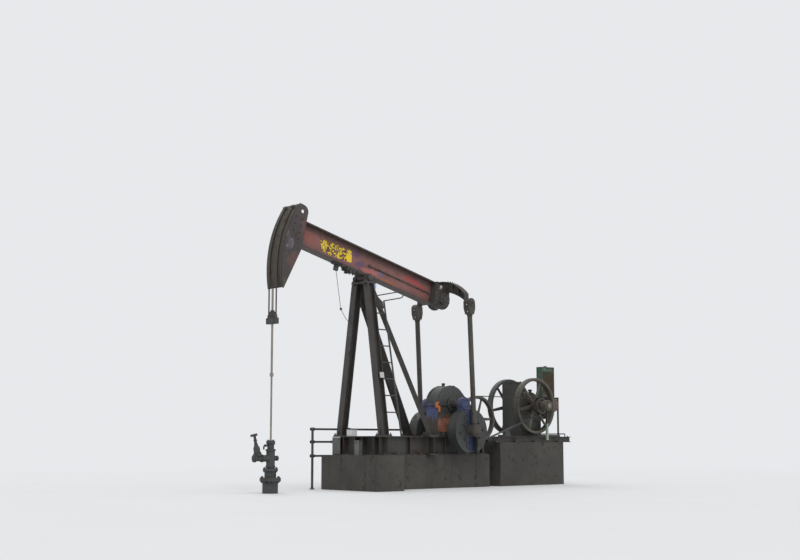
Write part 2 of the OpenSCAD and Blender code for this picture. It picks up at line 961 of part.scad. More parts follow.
// Sheave and input shaft
module sheave() {
    color([0.2, 0.2, 0.2])
        translate([input_x, 0, input_h])
            difference() {
                union() {
                    difference() {
                        along_y(sheave_r, -belt_y - sheave_w / 2, -belt_y + sheave_w / 2);
                        along_y(sheave_r - 50, -big, big);
                    }
                    along_y(80, -belt_y - sheave_w / 2, -belt_y + sheave_w / 2);
                    for (i = [0 : 4])
                        rotate([0, i * 72, 0])
                            box([0, sheave_r - 40], [-belt_y - 20, -belt_y + 20], [-28, 28]);
                }
                along_y(input_r + seat, -big, big);
            }
}

module input_shaft() {
    color([0.28, 0.28, 0.28])
        translate([input_x, 0, input_h]) {
            along_y(input_r, -belt_y - sheave_w / 2 - 20, 400);
            along_y(180, 300, 380);
        }
}

// Engine shaft and flywheels
module flywheel(y) {
    color([0.25, 0.23, 0.2])
        translate([engine_x, y, engine_h])
            difference() {
                union() {
                    difference() {
                        along_y(flywheel_r, -flywheel_w / 2, flywheel_w / 2);
                        along_y(flywheel_r - 70, -big, big);
                    }
                    along_y(95, -flywheel_w / 2, flywheel_w / 2);
                    for (i = [0 : 5])
                        rotate([0, -10 - i * 60, 0])
                            box([0, flywheel_r - 60], [-22, 22], [-36, 36]);
                }
                along_y(engine_r + seat, -big, big);
            }
}

module flywheel_near() flywheel(near_flywheel_y);

module flywheel_far() flywheel(far_flywheel_y);

clutch_in = belt_y + sheave_w / 2 + 50;
clutch_out = clutch_in + 150;

module engine_shaft()
    color([0.3, 0.3, 0.3])
        translate([engine_x, 0, engine_h])
            along_y(engine_r, -clutch_out - 15, far_flywheel_y + flywheel_w / 2 + 25);

module drive_pulley() {
    color([0.22, 0.22, 0.22])
        translate([engine_x, 0, engine_h])
            difference() {
                along_y(pulley_r, -belt_y - sheave_w / 2, -belt_y + sheave_w / 2);
                along_y(engine_r + seat, -big, big);
            }
}

module clutch() {
    color([0.2, 0.2, 0.2])
        translate([engine_x, 0, engine_h])
            difference() {
                union() {
                    along_y(110, -clutch_out, -clutch_in);
                    along_y(75, -clutch_out - 12, -clutch_in + 30);
                }
                along_y(engine_r + seat, -big, big);
            }
}

// Carrier bar, rod and wirelines
carrier_top = carrier_h + carrier_depth;
rod_top = pivot_h - head_r * sin(face_low - rest_tilt) - 6;
rod_low = 860;

module carrier_bar() {
    color([0.2, 0.2, 0.2])
        translate([rod_x, 0, 0])
            difference() {
                union() {
                    box([-45, 45], [-carrier_len / 2, carrier_len / 2], [carrier_h, carrier_top]);
                    box([-48, 48], [-48, 48], [carrier_top, carrier_top + 110]);
                }
                translate([0, 0, carrier_h - 1])
                    cylinder(h = 400, r = upper_rod_d / 2 + seat, $fn = 64);
            }
}

module polished_rod() {
    color([0.6, 0.58, 0.55])
        translate([rod_x, 0, 0]) {
            translate([0, 0, rod_low])
                cylinder(h = coupling_h - rod_low, r = rod_d / 2, $fn = 64);
            translate([0, 0, coupling_h])
                cylinder(h = 60, r = 34, $fn = 64);
            translate([0, 0, coupling_h + 60])
                cylinder(h = rod_top - coupling_h - 60, r = upper_rod_d / 2, $fn = 64);
        }
}

module hanging_wirelines() {
    color([0.3, 0.28, 0.27])
        for (s = [-1, 1])
            translate([wire_x, s * wire_y, carrier_top])
                cylinder(h = pivot_h - carrier_top, r = wire_d / 2, $fn = 24);
}

foundation();
skid_rails();
cross_beams();
front_leg_near();
front_leg_far();
rear_leg_near();
rear_leg_far();
post_cap();
ladder();
ladder_hoop();
reducer_housing();
reducer_base();
engine_skid();
crankcase();
engine_cylinder();
cooling_tank();
tank_stand();
magneto();
drive_belt();
guard_rail();
rail_brackets();
casing_head();
pumping_tee();
stuffing_box();
wing_valve();
base_boxes();
beam();
saddle_block();
tail_bearing();
head_frame();
head_side_near();
head_side_far();
head_face();
head_wirelines();
grease_line();
beam_lug();
equalizer();
pitman_near();
pitman_far();
crankshaft();
crank_near();
crank_far();
weights_near();
weights_far();
sheave();
input_shaft();
flywheel_near();
flywheel_far();
engine_shaft();
drive_pulley();
clutch();
carrier_bar();
polished_rod();
hanging_wirelines();
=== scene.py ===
"""Looks of the beam pumping unit: procedural finishes, detail pieces, light and camera.

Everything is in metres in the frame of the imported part: +X from the saddle towards the engine,
-Y towards the camera's side, +Z up, the ground at z = 0.
"""

import itertools
import json
import math

import bmesh
import bpy
from mathutils import Matrix, Vector


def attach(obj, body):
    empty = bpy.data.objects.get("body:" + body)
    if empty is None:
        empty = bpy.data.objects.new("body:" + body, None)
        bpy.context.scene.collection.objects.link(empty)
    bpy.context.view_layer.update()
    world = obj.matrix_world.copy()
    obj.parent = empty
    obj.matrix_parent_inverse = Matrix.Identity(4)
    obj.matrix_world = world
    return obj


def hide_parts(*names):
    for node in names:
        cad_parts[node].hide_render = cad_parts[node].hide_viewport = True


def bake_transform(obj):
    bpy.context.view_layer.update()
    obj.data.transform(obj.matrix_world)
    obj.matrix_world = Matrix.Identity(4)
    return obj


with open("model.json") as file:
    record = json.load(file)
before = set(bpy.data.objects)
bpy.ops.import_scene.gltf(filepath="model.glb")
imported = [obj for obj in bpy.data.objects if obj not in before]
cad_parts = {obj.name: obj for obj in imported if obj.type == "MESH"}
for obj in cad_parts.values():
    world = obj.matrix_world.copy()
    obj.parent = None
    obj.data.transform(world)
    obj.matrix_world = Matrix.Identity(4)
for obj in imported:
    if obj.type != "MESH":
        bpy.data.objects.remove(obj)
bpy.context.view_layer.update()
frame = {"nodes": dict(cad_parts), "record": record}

# Camera, fitted to the photograph
CAMERA_PLACE = (-15.407, -18.185, 0.93)
CAMERA_YAW = math.radians(42.0)
CAMERA_PITCH = 0.129
CAMERA_LENS = 55.785
SENSOR_WIDTH = 36.0

# Light, floor and backdrop
FLOOR_COLOUR = (0.78, 0.785, 0.79)
FLOOR_SIZE = 400.0
FLOOR_CENTRE = (1.6, 0.0, 0.0)
FLOOR_FADE = (9.0, 26.0)
BACKDROP_COLOUR = (0.80, 0.815, 0.835)
SKY_COLOUR = (0.93, 0.96, 1.0)
SKY_STRENGTH = 0.55
# Soft suns: name, power, softness in degrees, where each shines from, colour
SUNS = (
    ("key", 1.15, 30.0, (-0.45, -0.55, 0.9), (1.0, 0.98, 0.95)),
    ("fill", 0.45, 60.0, (0.9, -0.6, 0.6), (0.93, 0.96, 1.0)),
    ("rim", 0.55, 40.0, (0.3, 0.9, 0.8), (1.0, 1.0, 1.0)),
)

# Directions and sides
UP, DOWN = (0.0, 0.0, 1.0), (0.0, 0.0, -1.0)
TO_ENGINE, TO_WELL = (1.0, 0.0, 0.0), (-1.0, 0.0, 0.0)
TO_FAR, TO_NEAR = (0.0, 1.0, 0.0), (0.0, -1.0, 0.0)
SIDES = (-1.0, 1.0)

# Walking beam, in its own axes: u along it, y across, w square to it, from the saddle axis
PIVOT = Vector((0.0, 0.0, 4.05))
BEAM_TILT = math.radians(14.5)
ON_BEAM = Matrix.Translation(PIVOT) @ Matrix.Rotation(BEAM_TILT, 4, "Y")
BEAM_LOW, BEAM_TOP = 0.06, 0.54
BEAM_FLANGE = 0.026
BEAM_END = 1.755
HEAD_R = 2.134
HEAD_HALF = 0.22
HEAD_DROP, HEAD_RISE = 0.88, 0.735
WIRE_R = 0.014
WIRE_Y = 0.11
WIRE_LINE = HEAD_R + 0.0002 + WIRE_R
WIRE_ANCHOR = math.radians(19.0)
STRAND_PITCH = 0.19
CARRIER_TOP = 3.14

# Tail bearing, pitmans and cranks
TAIL = Vector((2.00857, 0.0, 3.78877))
PITMAN_TOP = Vector((2.13857, 0.77, 3.66977))
CRANKSHAFT = Vector((2.21, 0.0, 1.66))
WRIST = Vector((2.25993, 0.77, 1.13236))
CRANK_LEAN = math.radians(-5.406)
ON_CRANK = Matrix.Translation(CRANKSHAFT) @ Matrix.Rotation(CRANK_LEAN, 4, "Y")
CRANK_FACE, WEIGHT_FACE = 0.57, 0.69

# Belt drive
INPUT = Vector((2.77, -0.34, 1.37))
SHEAVE_R = 0.47
ENGINE = Vector((4.71, -0.34, 1.675))
PULLEY_R = 0.17
BELT_HALF = 0.05
BELT_ROWS = (-0.033, -0.011, 0.011, 0.033)
DRUM_Y = 0.34

# Engine
FLYWHEEL_R = 0.60
FLYWHEEL_Y = {"near": -0.17, "far": 0.60}
SPOKE_TURN = math.radians(10.0)
CYLINDER_Y, CYLINDER_Z = 0.215, 1.615
CYLINDER_END = 5.54
MAGNETO_X, MAGNETO_Z = 5.4325, 1.71
TANK_LOW, TANK_HIGH = Vector((5.24, 0.07, 1.88)), Vector((5.625, 0.21, 2.55))

# Post, base and wellhead
CAP_TOP = 3.974
BASE_TOP = 1.02
FOOT_TOP = BASE_TOP + 0.024
RAIL_LOW = 0.66
RAIL_Y = 0.2
WELL_X = -2.1482
VALVE_Z = 0.62


def camera():
    """The camera at the photograph's place, and with its frame."""
    data = bpy.data.cameras.new("camera")
    data.lens = CAMERA_LENS
    data.sensor_width = SENSOR_WIDTH
    data.sensor_fit = "HORIZONTAL"
    data.clip_end = 500.0
    eye = bpy.data.objects.new("camera", data)
    eye.location = CAMERA_PLACE
    eye.rotation_euler = (math.pi / 2 + CAMERA_PITCH, 0.0, -CAMERA_YAW)
    bpy.context.collection.objects.link(eye)
    bpy.context.scene.camera = eye


class Tree:
    """A short way to fill a node tree, of a material or the world."""

    def __init__(self, tree):
        self.tree = tree
        tree.nodes.clear()

    def node(self, kind, out, inputs=None, **settings):
        """Makes a node with its settings and inputs, and gives one of its outputs."""
        node = self.tree.nodes.new("ShaderNode" + kind)
        for name, value in settings.items():
            setattr(node, name, value)
        for name, value in (inputs or {}).items():
            self.feed(node.inputs[name], value)
        return node.outputs[out]

    def feed(self, target, value):
        """Joins a socket to another one, or sets its value."""
        if hasattr(value, "is_linked"):
            self.tree.links.new(value, target)
        elif target.type == "RGBA":
            target.default_value = (*value, 1.0)
        else:
            target.default_value = value

    def math(self, operation, first, second):
        return self.node("Math", 0, {0: first, 1: second}, operation=operation)

    def plus(self, first, second):
        return self.math("ADD", first, second)

    def minus(self, first, second):
        return self.math("SUBTRACT", first, second)

    def times(self, first, *others):
        """The product of several values, such as masks."""
        for other in others:
            first = self.math("MULTIPLY", first, other)
        return first


class Nodes(Tree):
    """A material's node tree, with its shader and the nodes that the finishes use."""

    def __init__(self, name):
        self.material = bpy.data.materials.new(name)
        self.material.use_nodes = True
        super().__init__(self.material.node_tree)
        self.surface = self.tree.nodes.new("ShaderNodeOutputMaterial").inputs["Surface"]
        self.shader = self.tree.nodes.new("ShaderNodeBsdfPrincipled")
        self.feed(self.surface, self.shader.outputs["BSDF"])
        self.place = self.node("TexCoord", "Object")

    def mapped(self, scale=(1, 1, 1), turn=(0, 0, 0), shift=(0, 0, 0)):
        """Object coordinates, scaled, turned and shifted."""
        inputs = {"Vector": self.place, "Scale": scale, "Rotation": turn, "Location": shift}
        return self.node("Mapping", "Vector", inputs)

    def noise(self, scale, detail=4.0, rough=0.55, place=None):
        inputs = {"Vector": place or self.place, "Scale": scale, "Detail": detail, "Roughness": rough}
        return self.node("TexNoise", "Fac", inputs)

    def shaken(self, value, noise, amount):
        """The value, moved up and down by a noise."""
        return self.plus(value, self.times(self.minus(noise, 0.5), amount))

    def ramp(self, value, low, high):
        """0 below low, 1 above high, smooth between."""
        inputs = {"Value": value, "From Min": low, "From Max": high}
        return self.node("MapRange", "Result", inputs, interpolation_type="SMOOTHSTEP")

    def mix(self, amount, first, second):
        return self.node("Mix", 2, {0: amount, 6: first, 7: second}, data_type="RGBA")

    def axes(self, place=None):
        """The three coordinates of a place, each by itself."""
        return [self.node("SeparateXYZ", name, {"Vector": place or self.place}) for name in "XYZ"]

    def vector(self, operation, first, second=(0.0, 0.0, 0.0), out="Vector"):
        return self.node("VectorMath", out, {0: first, 1: second}, operation=operation)

    def edges(self, radius=0.008):
        """1 along the rounded edges of hard shapes, 0 on their faces."""
        rounded = self.node("Bevel", "Normal", {"Radius": radius}, samples=4)
        same = self.vector("DOT_PRODUCT", rounded, self.node("NewGeometry", "Normal"), "Value")
        return self.ramp(self.minus(1.0, same), 0.01, 0.2)

    def bump(self, height, strength, distance=0.004):
        inputs = {"Height": height, "Strength": strength, "Distance": distance}
        self.feed(self.shader.inputs["Normal"], self.node("Bump", "Normal", inputs))

    def blob(self, place, centre, reach, noise):
        """1 at centre, falling to 0 at a ragged edge, where reach is a radius along each axis."""
        scaled = self.vector("DIVIDE", self.vector("SUBTRACT", place, centre), reach)
        distance = self.shaken(self.vector("LENGTH", scaled, out="Value"), noise, 2.4)
        return self.minus(1.0, self.ramp(distance, 0.55, 1.0))


def dimmer(colour, share):
    """The colour with each channel times share, kept within 1."""
    return tuple(min(1.0, channel * share) for channel in colour)


def aged(n, paint, rust, dust, rust_amount, streak, edge):
    """The colour and rust mask of a weathered coat: clouds, rust patches, rain streaks and dust."""
    fine = n.noise(60.0, 4.0, 0.6)
    streaks = n.noise(1.0, 5.0, 0.6, n.mapped((14.0, 14.0, 0.9)))
    colour = n.mix(n.ramp(n.noise(1.3, 5.0, 0.6), 0.3, 0.7), dimmer(paint, 0.78), dimmer(paint, 1.18))
    worn = n.plus(n.noise(7.0, 8.0, 0.68), n.times(n.edges(), edge * 0.35))
    level = 0.74 - 0.30 * rust_amount
    rusty = n.ramp(worn, level - 0.05, level + 0.06)
    colour = n.mix(rusty, colour, n.mix(n.ramp(fine, 0.35, 0.65), rust, dimmer(rust, 0.55)))
    colour = n.mix(n.times(n.ramp(streaks, 0.52, 0.72), streak), colour, dimmer(paint, 0.45))
    dusty = n.times(n.ramp(n.noise(3.1, 6.0, 0.7), 0.5, 0.85), 0.55)
    return n.mix(dusty, colour, dust), rusty, fine


# Finishes: colours of the paint, rust and dust, then the amount of rust, roughness, metal, streaks
# and worn edges, as far as they differ from the usual. The last five have a pattern of their own.
FINISHES = {
    "concrete": ((0.061, 0.055, 0.048), (0.048, 0.041, 0.034), (0.098, 0.090, 0.078), 0.45, 0.85),
    "base_steel": ((0.045, 0.043, 0.039), (0.078, 0.039, 0.026), (0.107, 0.098, 0.082), 0.5),
    "post_steel": ((0.049, 0.045, 0.041), (0.065, 0.035, 0.026), (0.097, 0.094, 0.086), 0.42),
    "bar_steel": ((0.047, 0.053, 0.049), (0.072, 0.043, 0.030), (0.111, 0.111, 0.102), 0.45),
    "engine_iron": ((0.042, 0.044, 0.037), (0.066, 0.041, 0.028), (0.094, 0.094, 0.078), 0.45),
    "belt_rubber": ((0.025, 0.025, 0.025), (0.05, 0.045, 0.04), (0.09, 0.08, 0.07), 0.3, 0.6, 0.0, 0.5, 0.2),
    "well_steel": ((0.043, 0.047, 0.047), (0.076, 0.047, 0.034), (0.119, 0.111, 0.102), 0.5),
    "face_paint": ((0.053, 0.043, 0.031), (0.062, 0.034, 0.022), (0.087, 0.074, 0.056), 0.5),
    "wire_steel": ((0.08, 0.075, 0.07), (0.11, 0.065, 0.04), (0.14, 0.12, 0.10), 0.5, 0.6, 0.5),
    "equalizer_paint": ((0.056, 0.051, 0.043), (0.076, 0.044, 0.029), (0.112, 0.104, 0.088), 0.45),
    "shaft_steel": ((0.20, 0.19, 0.18), (0.12, 0.07, 0.05), (0.16, 0.14, 0.12), 0.35, 0.4, 0.8),
    "crank_paint": ((0.060, 0.075, 0.165), (0.075, 0.060, 0.075), (0.12, 0.125, 0.155)),
    "weight_iron": ((0.036, 0.041, 0.040), (0.066, 0.043, 0.034), (0.076, 0.082, 0.073), 0.5),
    "wheel_iron": ((0.060, 0.055, 0.049), (0.093, 0.051, 0.030), (0.128, 0.111, 0.085), 0.5),
    "flywheel_iron": ((0.080, 0.073, 0.055), (0.100, 0.064, 0.039), (0.150, 0.139, 0.108), 0.45),
    "rod_steel": ((0.28, 0.25, 0.22), (0.16, 0.09, 0.06), (0.2, 0.18, 0.16), 0.35, 0.35, 0.6),
    "pale_green": ((0.30, 0.40, 0.31), (0.16, 0.11, 0.07), (0.30, 0.30, 0.25)),
    "pale_blue": ((0.30, 0.42, 0.68), (0.16, 0.15, 0.16), (0.34, 0.38, 0.40)),
    "orange": ((0.62, 0.17, 0.03), (0.22, 0.08, 0.04), (0.30, 0.16, 0.09)),
    "bright_steel": ((0.55, 0.54, 0.50), (0.20, 0.14, 0.10), (0.4, 0.38, 0.34), 0.2, 0.6, 0.3),
    "tag_white": ((0.62, 0.62, 0.60), (0.28, 0.22, 0.24), (0.45, 0.42, 0.42)),
    "magneto_brown": ((0.095, 0.046, 0.040), (0.075, 0.042, 0.032), (0.13, 0.09, 0.08)),
    "far_wheel": ((0.062, 0.066, 0.062), (0.11, 0.06, 0.052), (0.12, 0.13, 0.12)),
    "beam_paint": (
        (0.215, 0.092, 0.080), (0.120, 0.058, 0.046), (0.215, 0.135, 0.125), 0.35, 0.62, 0.0, 0.3, 0.5
    ),
    "head_paint": (
        (0.054, 0.041, 0.040), (0.064, 0.038, 0.031), (0.086, 0.072, 0.069), 0.35, 0.6, 0.0, 0.5, 0.5
    ),
    "reducer_iron": (
        (0.045, 0.051, 0.047), (0.076, 0.055, 0.042), (0.086, 0.090, 0.079), 0.4, 0.6, 0.0, 0.6, 0.5
    ),
    "tank_paint": ((0.040, 0.095, 0.066), (0.10, 0.065, 0.04), (0.13, 0.14, 0.11), 0.4, 0.6, 0.0, 0.4, 0.5),
    "pale_paint": ((0.135, 0.14, 0.13), (0.10, 0.075, 0.06), (0.17, 0.165, 0.15), 0.35, 0.55, 0.0, 0.5, 0.5),
}

# Nodes whose look differs from the rest of their slot
NODE_FINISH = {"magneto": "magneto_brown", "flywheel_far": "far_wheel", "clutch": "flywheel_iron"}

# The worn yellow panel on the near web: its corners in beam axes, in order round it
PANEL = ((-1.193, 0.389), (-1.124, 0.131), (-0.353, 0.190), (-0.413, 0.416))
PANEL_YELLOW = (0.90, 0.63, 0.02)
PANEL_DARK = (0.045, 0.030, 0.018)

# Stains on the near web: place along and up the beam, reach, colour, strength
WEB_STAINS = (
    (-0.27, 0.41, 0.16, 0.10, (0.115, 0.045, 0.115), 0.75),
    (-0.14, 0.23, 0.15, 0.10, (0.105, 0.06, 0.13), 0.8),
    (0.00, 0.17, 0.15, 0.06, (0.42, 0.15, 0.10), 0.85),
    (0.20, 0.19, 0.24, 0.07, (0.44, 0.13, 0.13), 0.9),
    (0.39, 0.21, 0.08, 0.07, (0.14, 0.13, 0.24), 0.85),
    (0.60, 0.13, 0.40, 0.06, (0.36, 0.12, 0.06), 0.8),
    (1.25, 0.39, 0.26, 0.08, (0.42, 0.05, 0.05), 0.8),
    (1.47, 0.33, 0.22, 0.09, (0.36, 0.06, 0.05), 0.7),
    (-0.66, 0.13, 0.55, 0.07, (0.22, 0.09, 0.11), 0.7),
    (-1.45, 0.30, 0.22, 0.13, (0.30, 0.08, 0.065), 0.6),
)

# Stains on the near side of the head: place along and up, reach along, across and up, colour, strength
HEAD_STAINS = (
    (-1.80, -0.32, (0.22, 0.5, 0.22), (0.117, 0.055, 0.043), 0.7),
    (-1.75, 0.36, (0.10, 0.5, 0.24), (0.133, 0.047, 0.043), 0.6),
    (-1.88, -0.80, (0.20, 0.5, 0.16), (0.058, 0.062, 0.035), 0.8),
    (-1.99, -0.02, (0.090, 0.06, 0.150), (0.098, 0.078, 0.098), 0.8),
    (-1.965, 0.045, (0.050, 0.06, 0.030), (0.172, 0.148, 0.164), 0.6),
    (-1.925, -0.06, (0.022, 0.06, 0.080), (0.164, 0.140, 0.164), 0.6),
    (-2.035, -0.10, (0.030, 0.06, 0.040), (0.172, 0.140, 0.195), 0.7),
    (-2.08, 0.13, (0.035, 0.06, 0.06), (0.109, 0.109, 0.094), 0.7),
    (-2.06, -0.01, (0.030, 0.06, 0.08), (0.043, 0.037, 0.037), 0.8),
)


def beam_axes(n):
    """Object coordinates turned into beam axes."""
    shift = (PIVOT.z * math.sin(BEAM_TILT), 0.0, -PIVOT.z * math.cos(BEAM_TILT))
    return n.mapped(turn=(0.0, -BEAM_TILT, 0.0), shift=shift)


def flange_mask(n, w):
    """1 on both flanges of the beam, 0 on its web."""
    top, low = BEAM_TOP - BEAM_FLANGE, BEAM_LOW + BEAM_FLANGE
    return n.math("MAXIMUM", n.ramp(w, top - 0.003, top + 0.001), n.ramp(w, low + 0.003, low - 0.001))


def panel_mask(n, u, w, ragged):
    """1 inside the four lines between the panel's corners."""
    sides = []
    for (u0, w0), (u1, w1) in zip(PANEL, PANEL[1:] + PANEL[:1]):
        length = math.hypot(u1 - u0, w1 - w0)
        across_u, across_w = (w0 - w1) / length, (u1 - u0) / length
        inside = n.plus(n.times(u, across_u), n.times(w, across_w))
        inside = n.minus(inside, u0 * across_u + w0 * across_w)
        sides.append(n.ramp(n.plus(inside, n.times(ragged, 0.03)), 0.012, 0.020))
    return n.times(*sides)


def panel_colour(n, place, u, ragged):
    """Yellow paint, flaked off in patches down to a dark coat and bare primer."""
    fine, wide = n.noise(27.0, 6.0, 0.7, place), n.noise(8.0, 3.0, 0.6, place)
    flake = n.plus(n.times(fine, 0.65), n.times(wide, 0.35))
    flake = n.plus(flake, n.times(n.ramp(u, -0.56, -0.42), 0.12))
    colour = n.mix(n.ramp(flake, 0.495, 0.525), n.mix(ragged, PANEL_DARK, (0.13, 0.045, 0.03)), PANEL_YELLOW)
    return n.mix(n.ramp(n.noise(21.0, 4.0, 0.7, place), 0.57, 0.61), colour, (0.30, 0.19, 0.16))


def beam_pattern(n, colour, fine):
    """Faded red paint, dark along the flanges with painted shade and grime, with stains and the worn yellow
    panel.
    """
    place = beam_axes(n)
    u, y, w = n.axes(place)
    ragged = n.noise(9.0, 8.0, 0.72, place)
    near = n.ramp(y, 0.0, -0.004)
    for at_u, at_w, reach_u, reach_w, stain, strength in WEB_STAINS:
        mask = n.blob(place, (at_u, -0.008, at_w), (reach_u, 0.06, reach_w), ragged)
        colour = n.mix(n.times(mask, near, strength), colour, stain)
    # Painted shade under the upper flange, with grime, darkens the web near both flanges; it runs down from
    # the upper one
    height = n.shaken(w, ragged, 0.12)
    shade_and_grime = n.math("MAXIMUM", n.ramp(height, 0.36, 0.50), n.ramp(height, 0.12, 0.075))
    colour = n.mix(n.times(shade_and_grime, 0.72), colour, (0.055, 0.040, 0.035))
    dark = n.mix(ragged, (0.040, 0.035, 0.032), (0.080, 0.060, 0.054))
    colour = n.mix(n.times(flange_mask(n, w), 0.85), colour, dark)
    panel = n.times(panel_mask(n, u, w, ragged), near, 0.97)
    return n.mix(panel, colour, panel_colour(n, place, u, ragged))


def head_pattern(n, colour, fine):
    """Maroon paint gone brown, with stains and a bare worn patch on the near side."""
    place = beam_axes(n)
    ragged = n.noise(10.0, 8.0, 0.74, place)
    for at_u, at_w, reach, stain, strength in HEAD_STAINS:
        mask = n.blob(place, (at_u, -HEAD_HALF, at_w), reach, ragged)
        colour = n.mix(n.times(mask, strength), colour, stain)
    return colour


def reducer_pattern(n, colour, fine):
    """A salmon colour down the reducer's sides, painted light on their lit faces mixed with rust, and a blue
    end below the split flange.
    """
    streak = n.noise(1.0, 5.0, 0.62, n.mapped((16.0, 16.0, 1.2)))
    patch = n.noise(6.0, 5.0, 0.7)
    x, y, z = n.axes()
    height = n.shaken(z, streak, 0.55)
    side = n.ramp(n.math("ABSOLUTE", y, 0.0), 0.150, 0.180)
    # Painted light: the salmon colour on the sides stands in for their lit faces, mixed with rust
    lit_salmon = n.mix(n.ramp(patch, 0.40, 0.60), (0.10, 0.055, 0.036), (0.40, 0.165, 0.11))
    colour = n.mix(n.times(n.ramp(height, 1.50, 1.40), side, 0.85), colour, lit_salmon)
    front = n.times(n.ramp(x, 1.98, 1.90), n.ramp(height, 1.68, 1.64), n.minus(1.0, side))
    brown_end = n.times(front, n.ramp(height, 1.50, 1.36), 0.7)
    colour = n.mix(brown_end, colour, (0.085, 0.052, 0.036))
    blue_end = n.times(front, n.ramp(height, 1.36, 1.44), n.ramp(patch, 0.34, 0.42), 0.85)
    return n.mix(blue_end, colour, (0.085, 0.105, 0.26))


def tank_pattern(n, colour, fine):
    """Green paint, mottled brown with bare spots over the finned faces."""
    y, z = n.axes()[1:]
    middle = (TANK_LOW.y + TANK_HIGH.y) / 2
    half = (TANK_HIGH.y - TANK_LOW.y) / 2
    faces = n.ramp(n.math("ABSOLUTE", n.minus(y, middle), 0.0), half - 0.02, half - 0.004)
    low = n.times(n.ramp(n.shaken(z, n.noise(5.0, 6.0, 0.7), 0.7), 2.52, 2.36), faces, 0.8)
    colour = n.mix(low, colour, n.mix(fine, (0.075, 0.052, 0.035), (0.12, 0.085, 0.055)))
    spots = n.times(n.ramp(n.noise(17.0, 3.0, 0.6), 0.66, 0.70), faces, n.ramp(z, 2.20, 2.30), 0.8)
    return n.mix(spots, colour, (0.42, 0.44, 0.38))


def box_pattern(n, colour, fine):
    """Grey painted boxes, the one on the beam by the leg's foot white."""
    z = n.axes()[2]
    high = n.times(n.ramp(z, BASE_TOP - 0.03, BASE_TOP - 0.02), 0.92)
    white = n.mix(n.ramp(fine, 0.3, 0.7), (0.62, 0.64, 0.63), (0.80, 0.81, 0.80))
    return n.mix(high, colour, white)


PATTERNS = {
    "beam_paint": beam_pattern,
    "head_paint": head_pattern,
    "reducer_iron": reducer_pattern,
    "tank_paint": tank_pattern,
    "pale_paint": box_pattern,
}


def finish(name, paint, rust, dust, rust_amount=0.35, rough=0.6, metal=0.0, streak=0.5, edge=0.6):
    """Paint or iron with rust patches, rain streaks, dust and worn edges, and its pattern if any."""
    n = Nodes(name)
    colour, rusty, fine = aged(n, paint, rust, dust, rust_amount, streak, edge)
    if name in PATTERNS:
        colour = PATTERNS[name](n, colour, fine)
    n.feed(n.shader.inputs["Base Color"], colour)
    n.feed(n.shader.inputs["Roughness"], n.plus(n.times(rusty, 0.25), rough))
    n.feed(n.shader.inputs["Metallic"], metal)
    n.bump(n.plus(n.times(fine, 0.4), n.times(rusty, 0.6)), 0.35)
    return n.material


def along(way):
    """The direction along X, towards the engine where way is 1."""
    return Vector((way, 0.0, 0.0))


def across(side):
    """The direction along Y, towards the far side where side is 1."""
    return Vector((0.0, side, 0.0))


def arc_direction(angle):
    """The direction from the saddle axis to the head's arc, at an angle above level."""
    return Vector((-math.cos(angle), 0.0, math.sin(angle)))


def aimed(at, axis, roll=0.0):
    """A place at a point, with its Z axis along axis."""
    turn = Vector(axis).to_track_quat("Z", "Y").to_matrix().to_4x4()
    return Matrix.Translation(Vector(at)) @ turn @ Matrix.Rotation(roll, 4, "Z")


def circle(radius, height=0.0, sides=24, turn=0.0):
    """Points of a circle about Z."""
    steps = (turn + 2 * math.pi * i / sides for i in range(sides))
    return [(radius * math.cos(a), radius * math.sin(a), height) for a in steps]


def mirrored(half):
    """A profile that is the same below and above 0, from its upper half."""
    return [(r, -h) for r, h in half] + [(r, h) for r, h in half[::-1] if h]


def collar(inner, outer, half, slope=0.0):
    """The profile of a plain ring, with its ends sloped."""
    return mirrored(((inner, half), (outer, half - slope)))


def listed(value):
    """A tuple as it is, and a single number as a tuple of one."""
    return value if isinstance(value, tuple) else (value,)


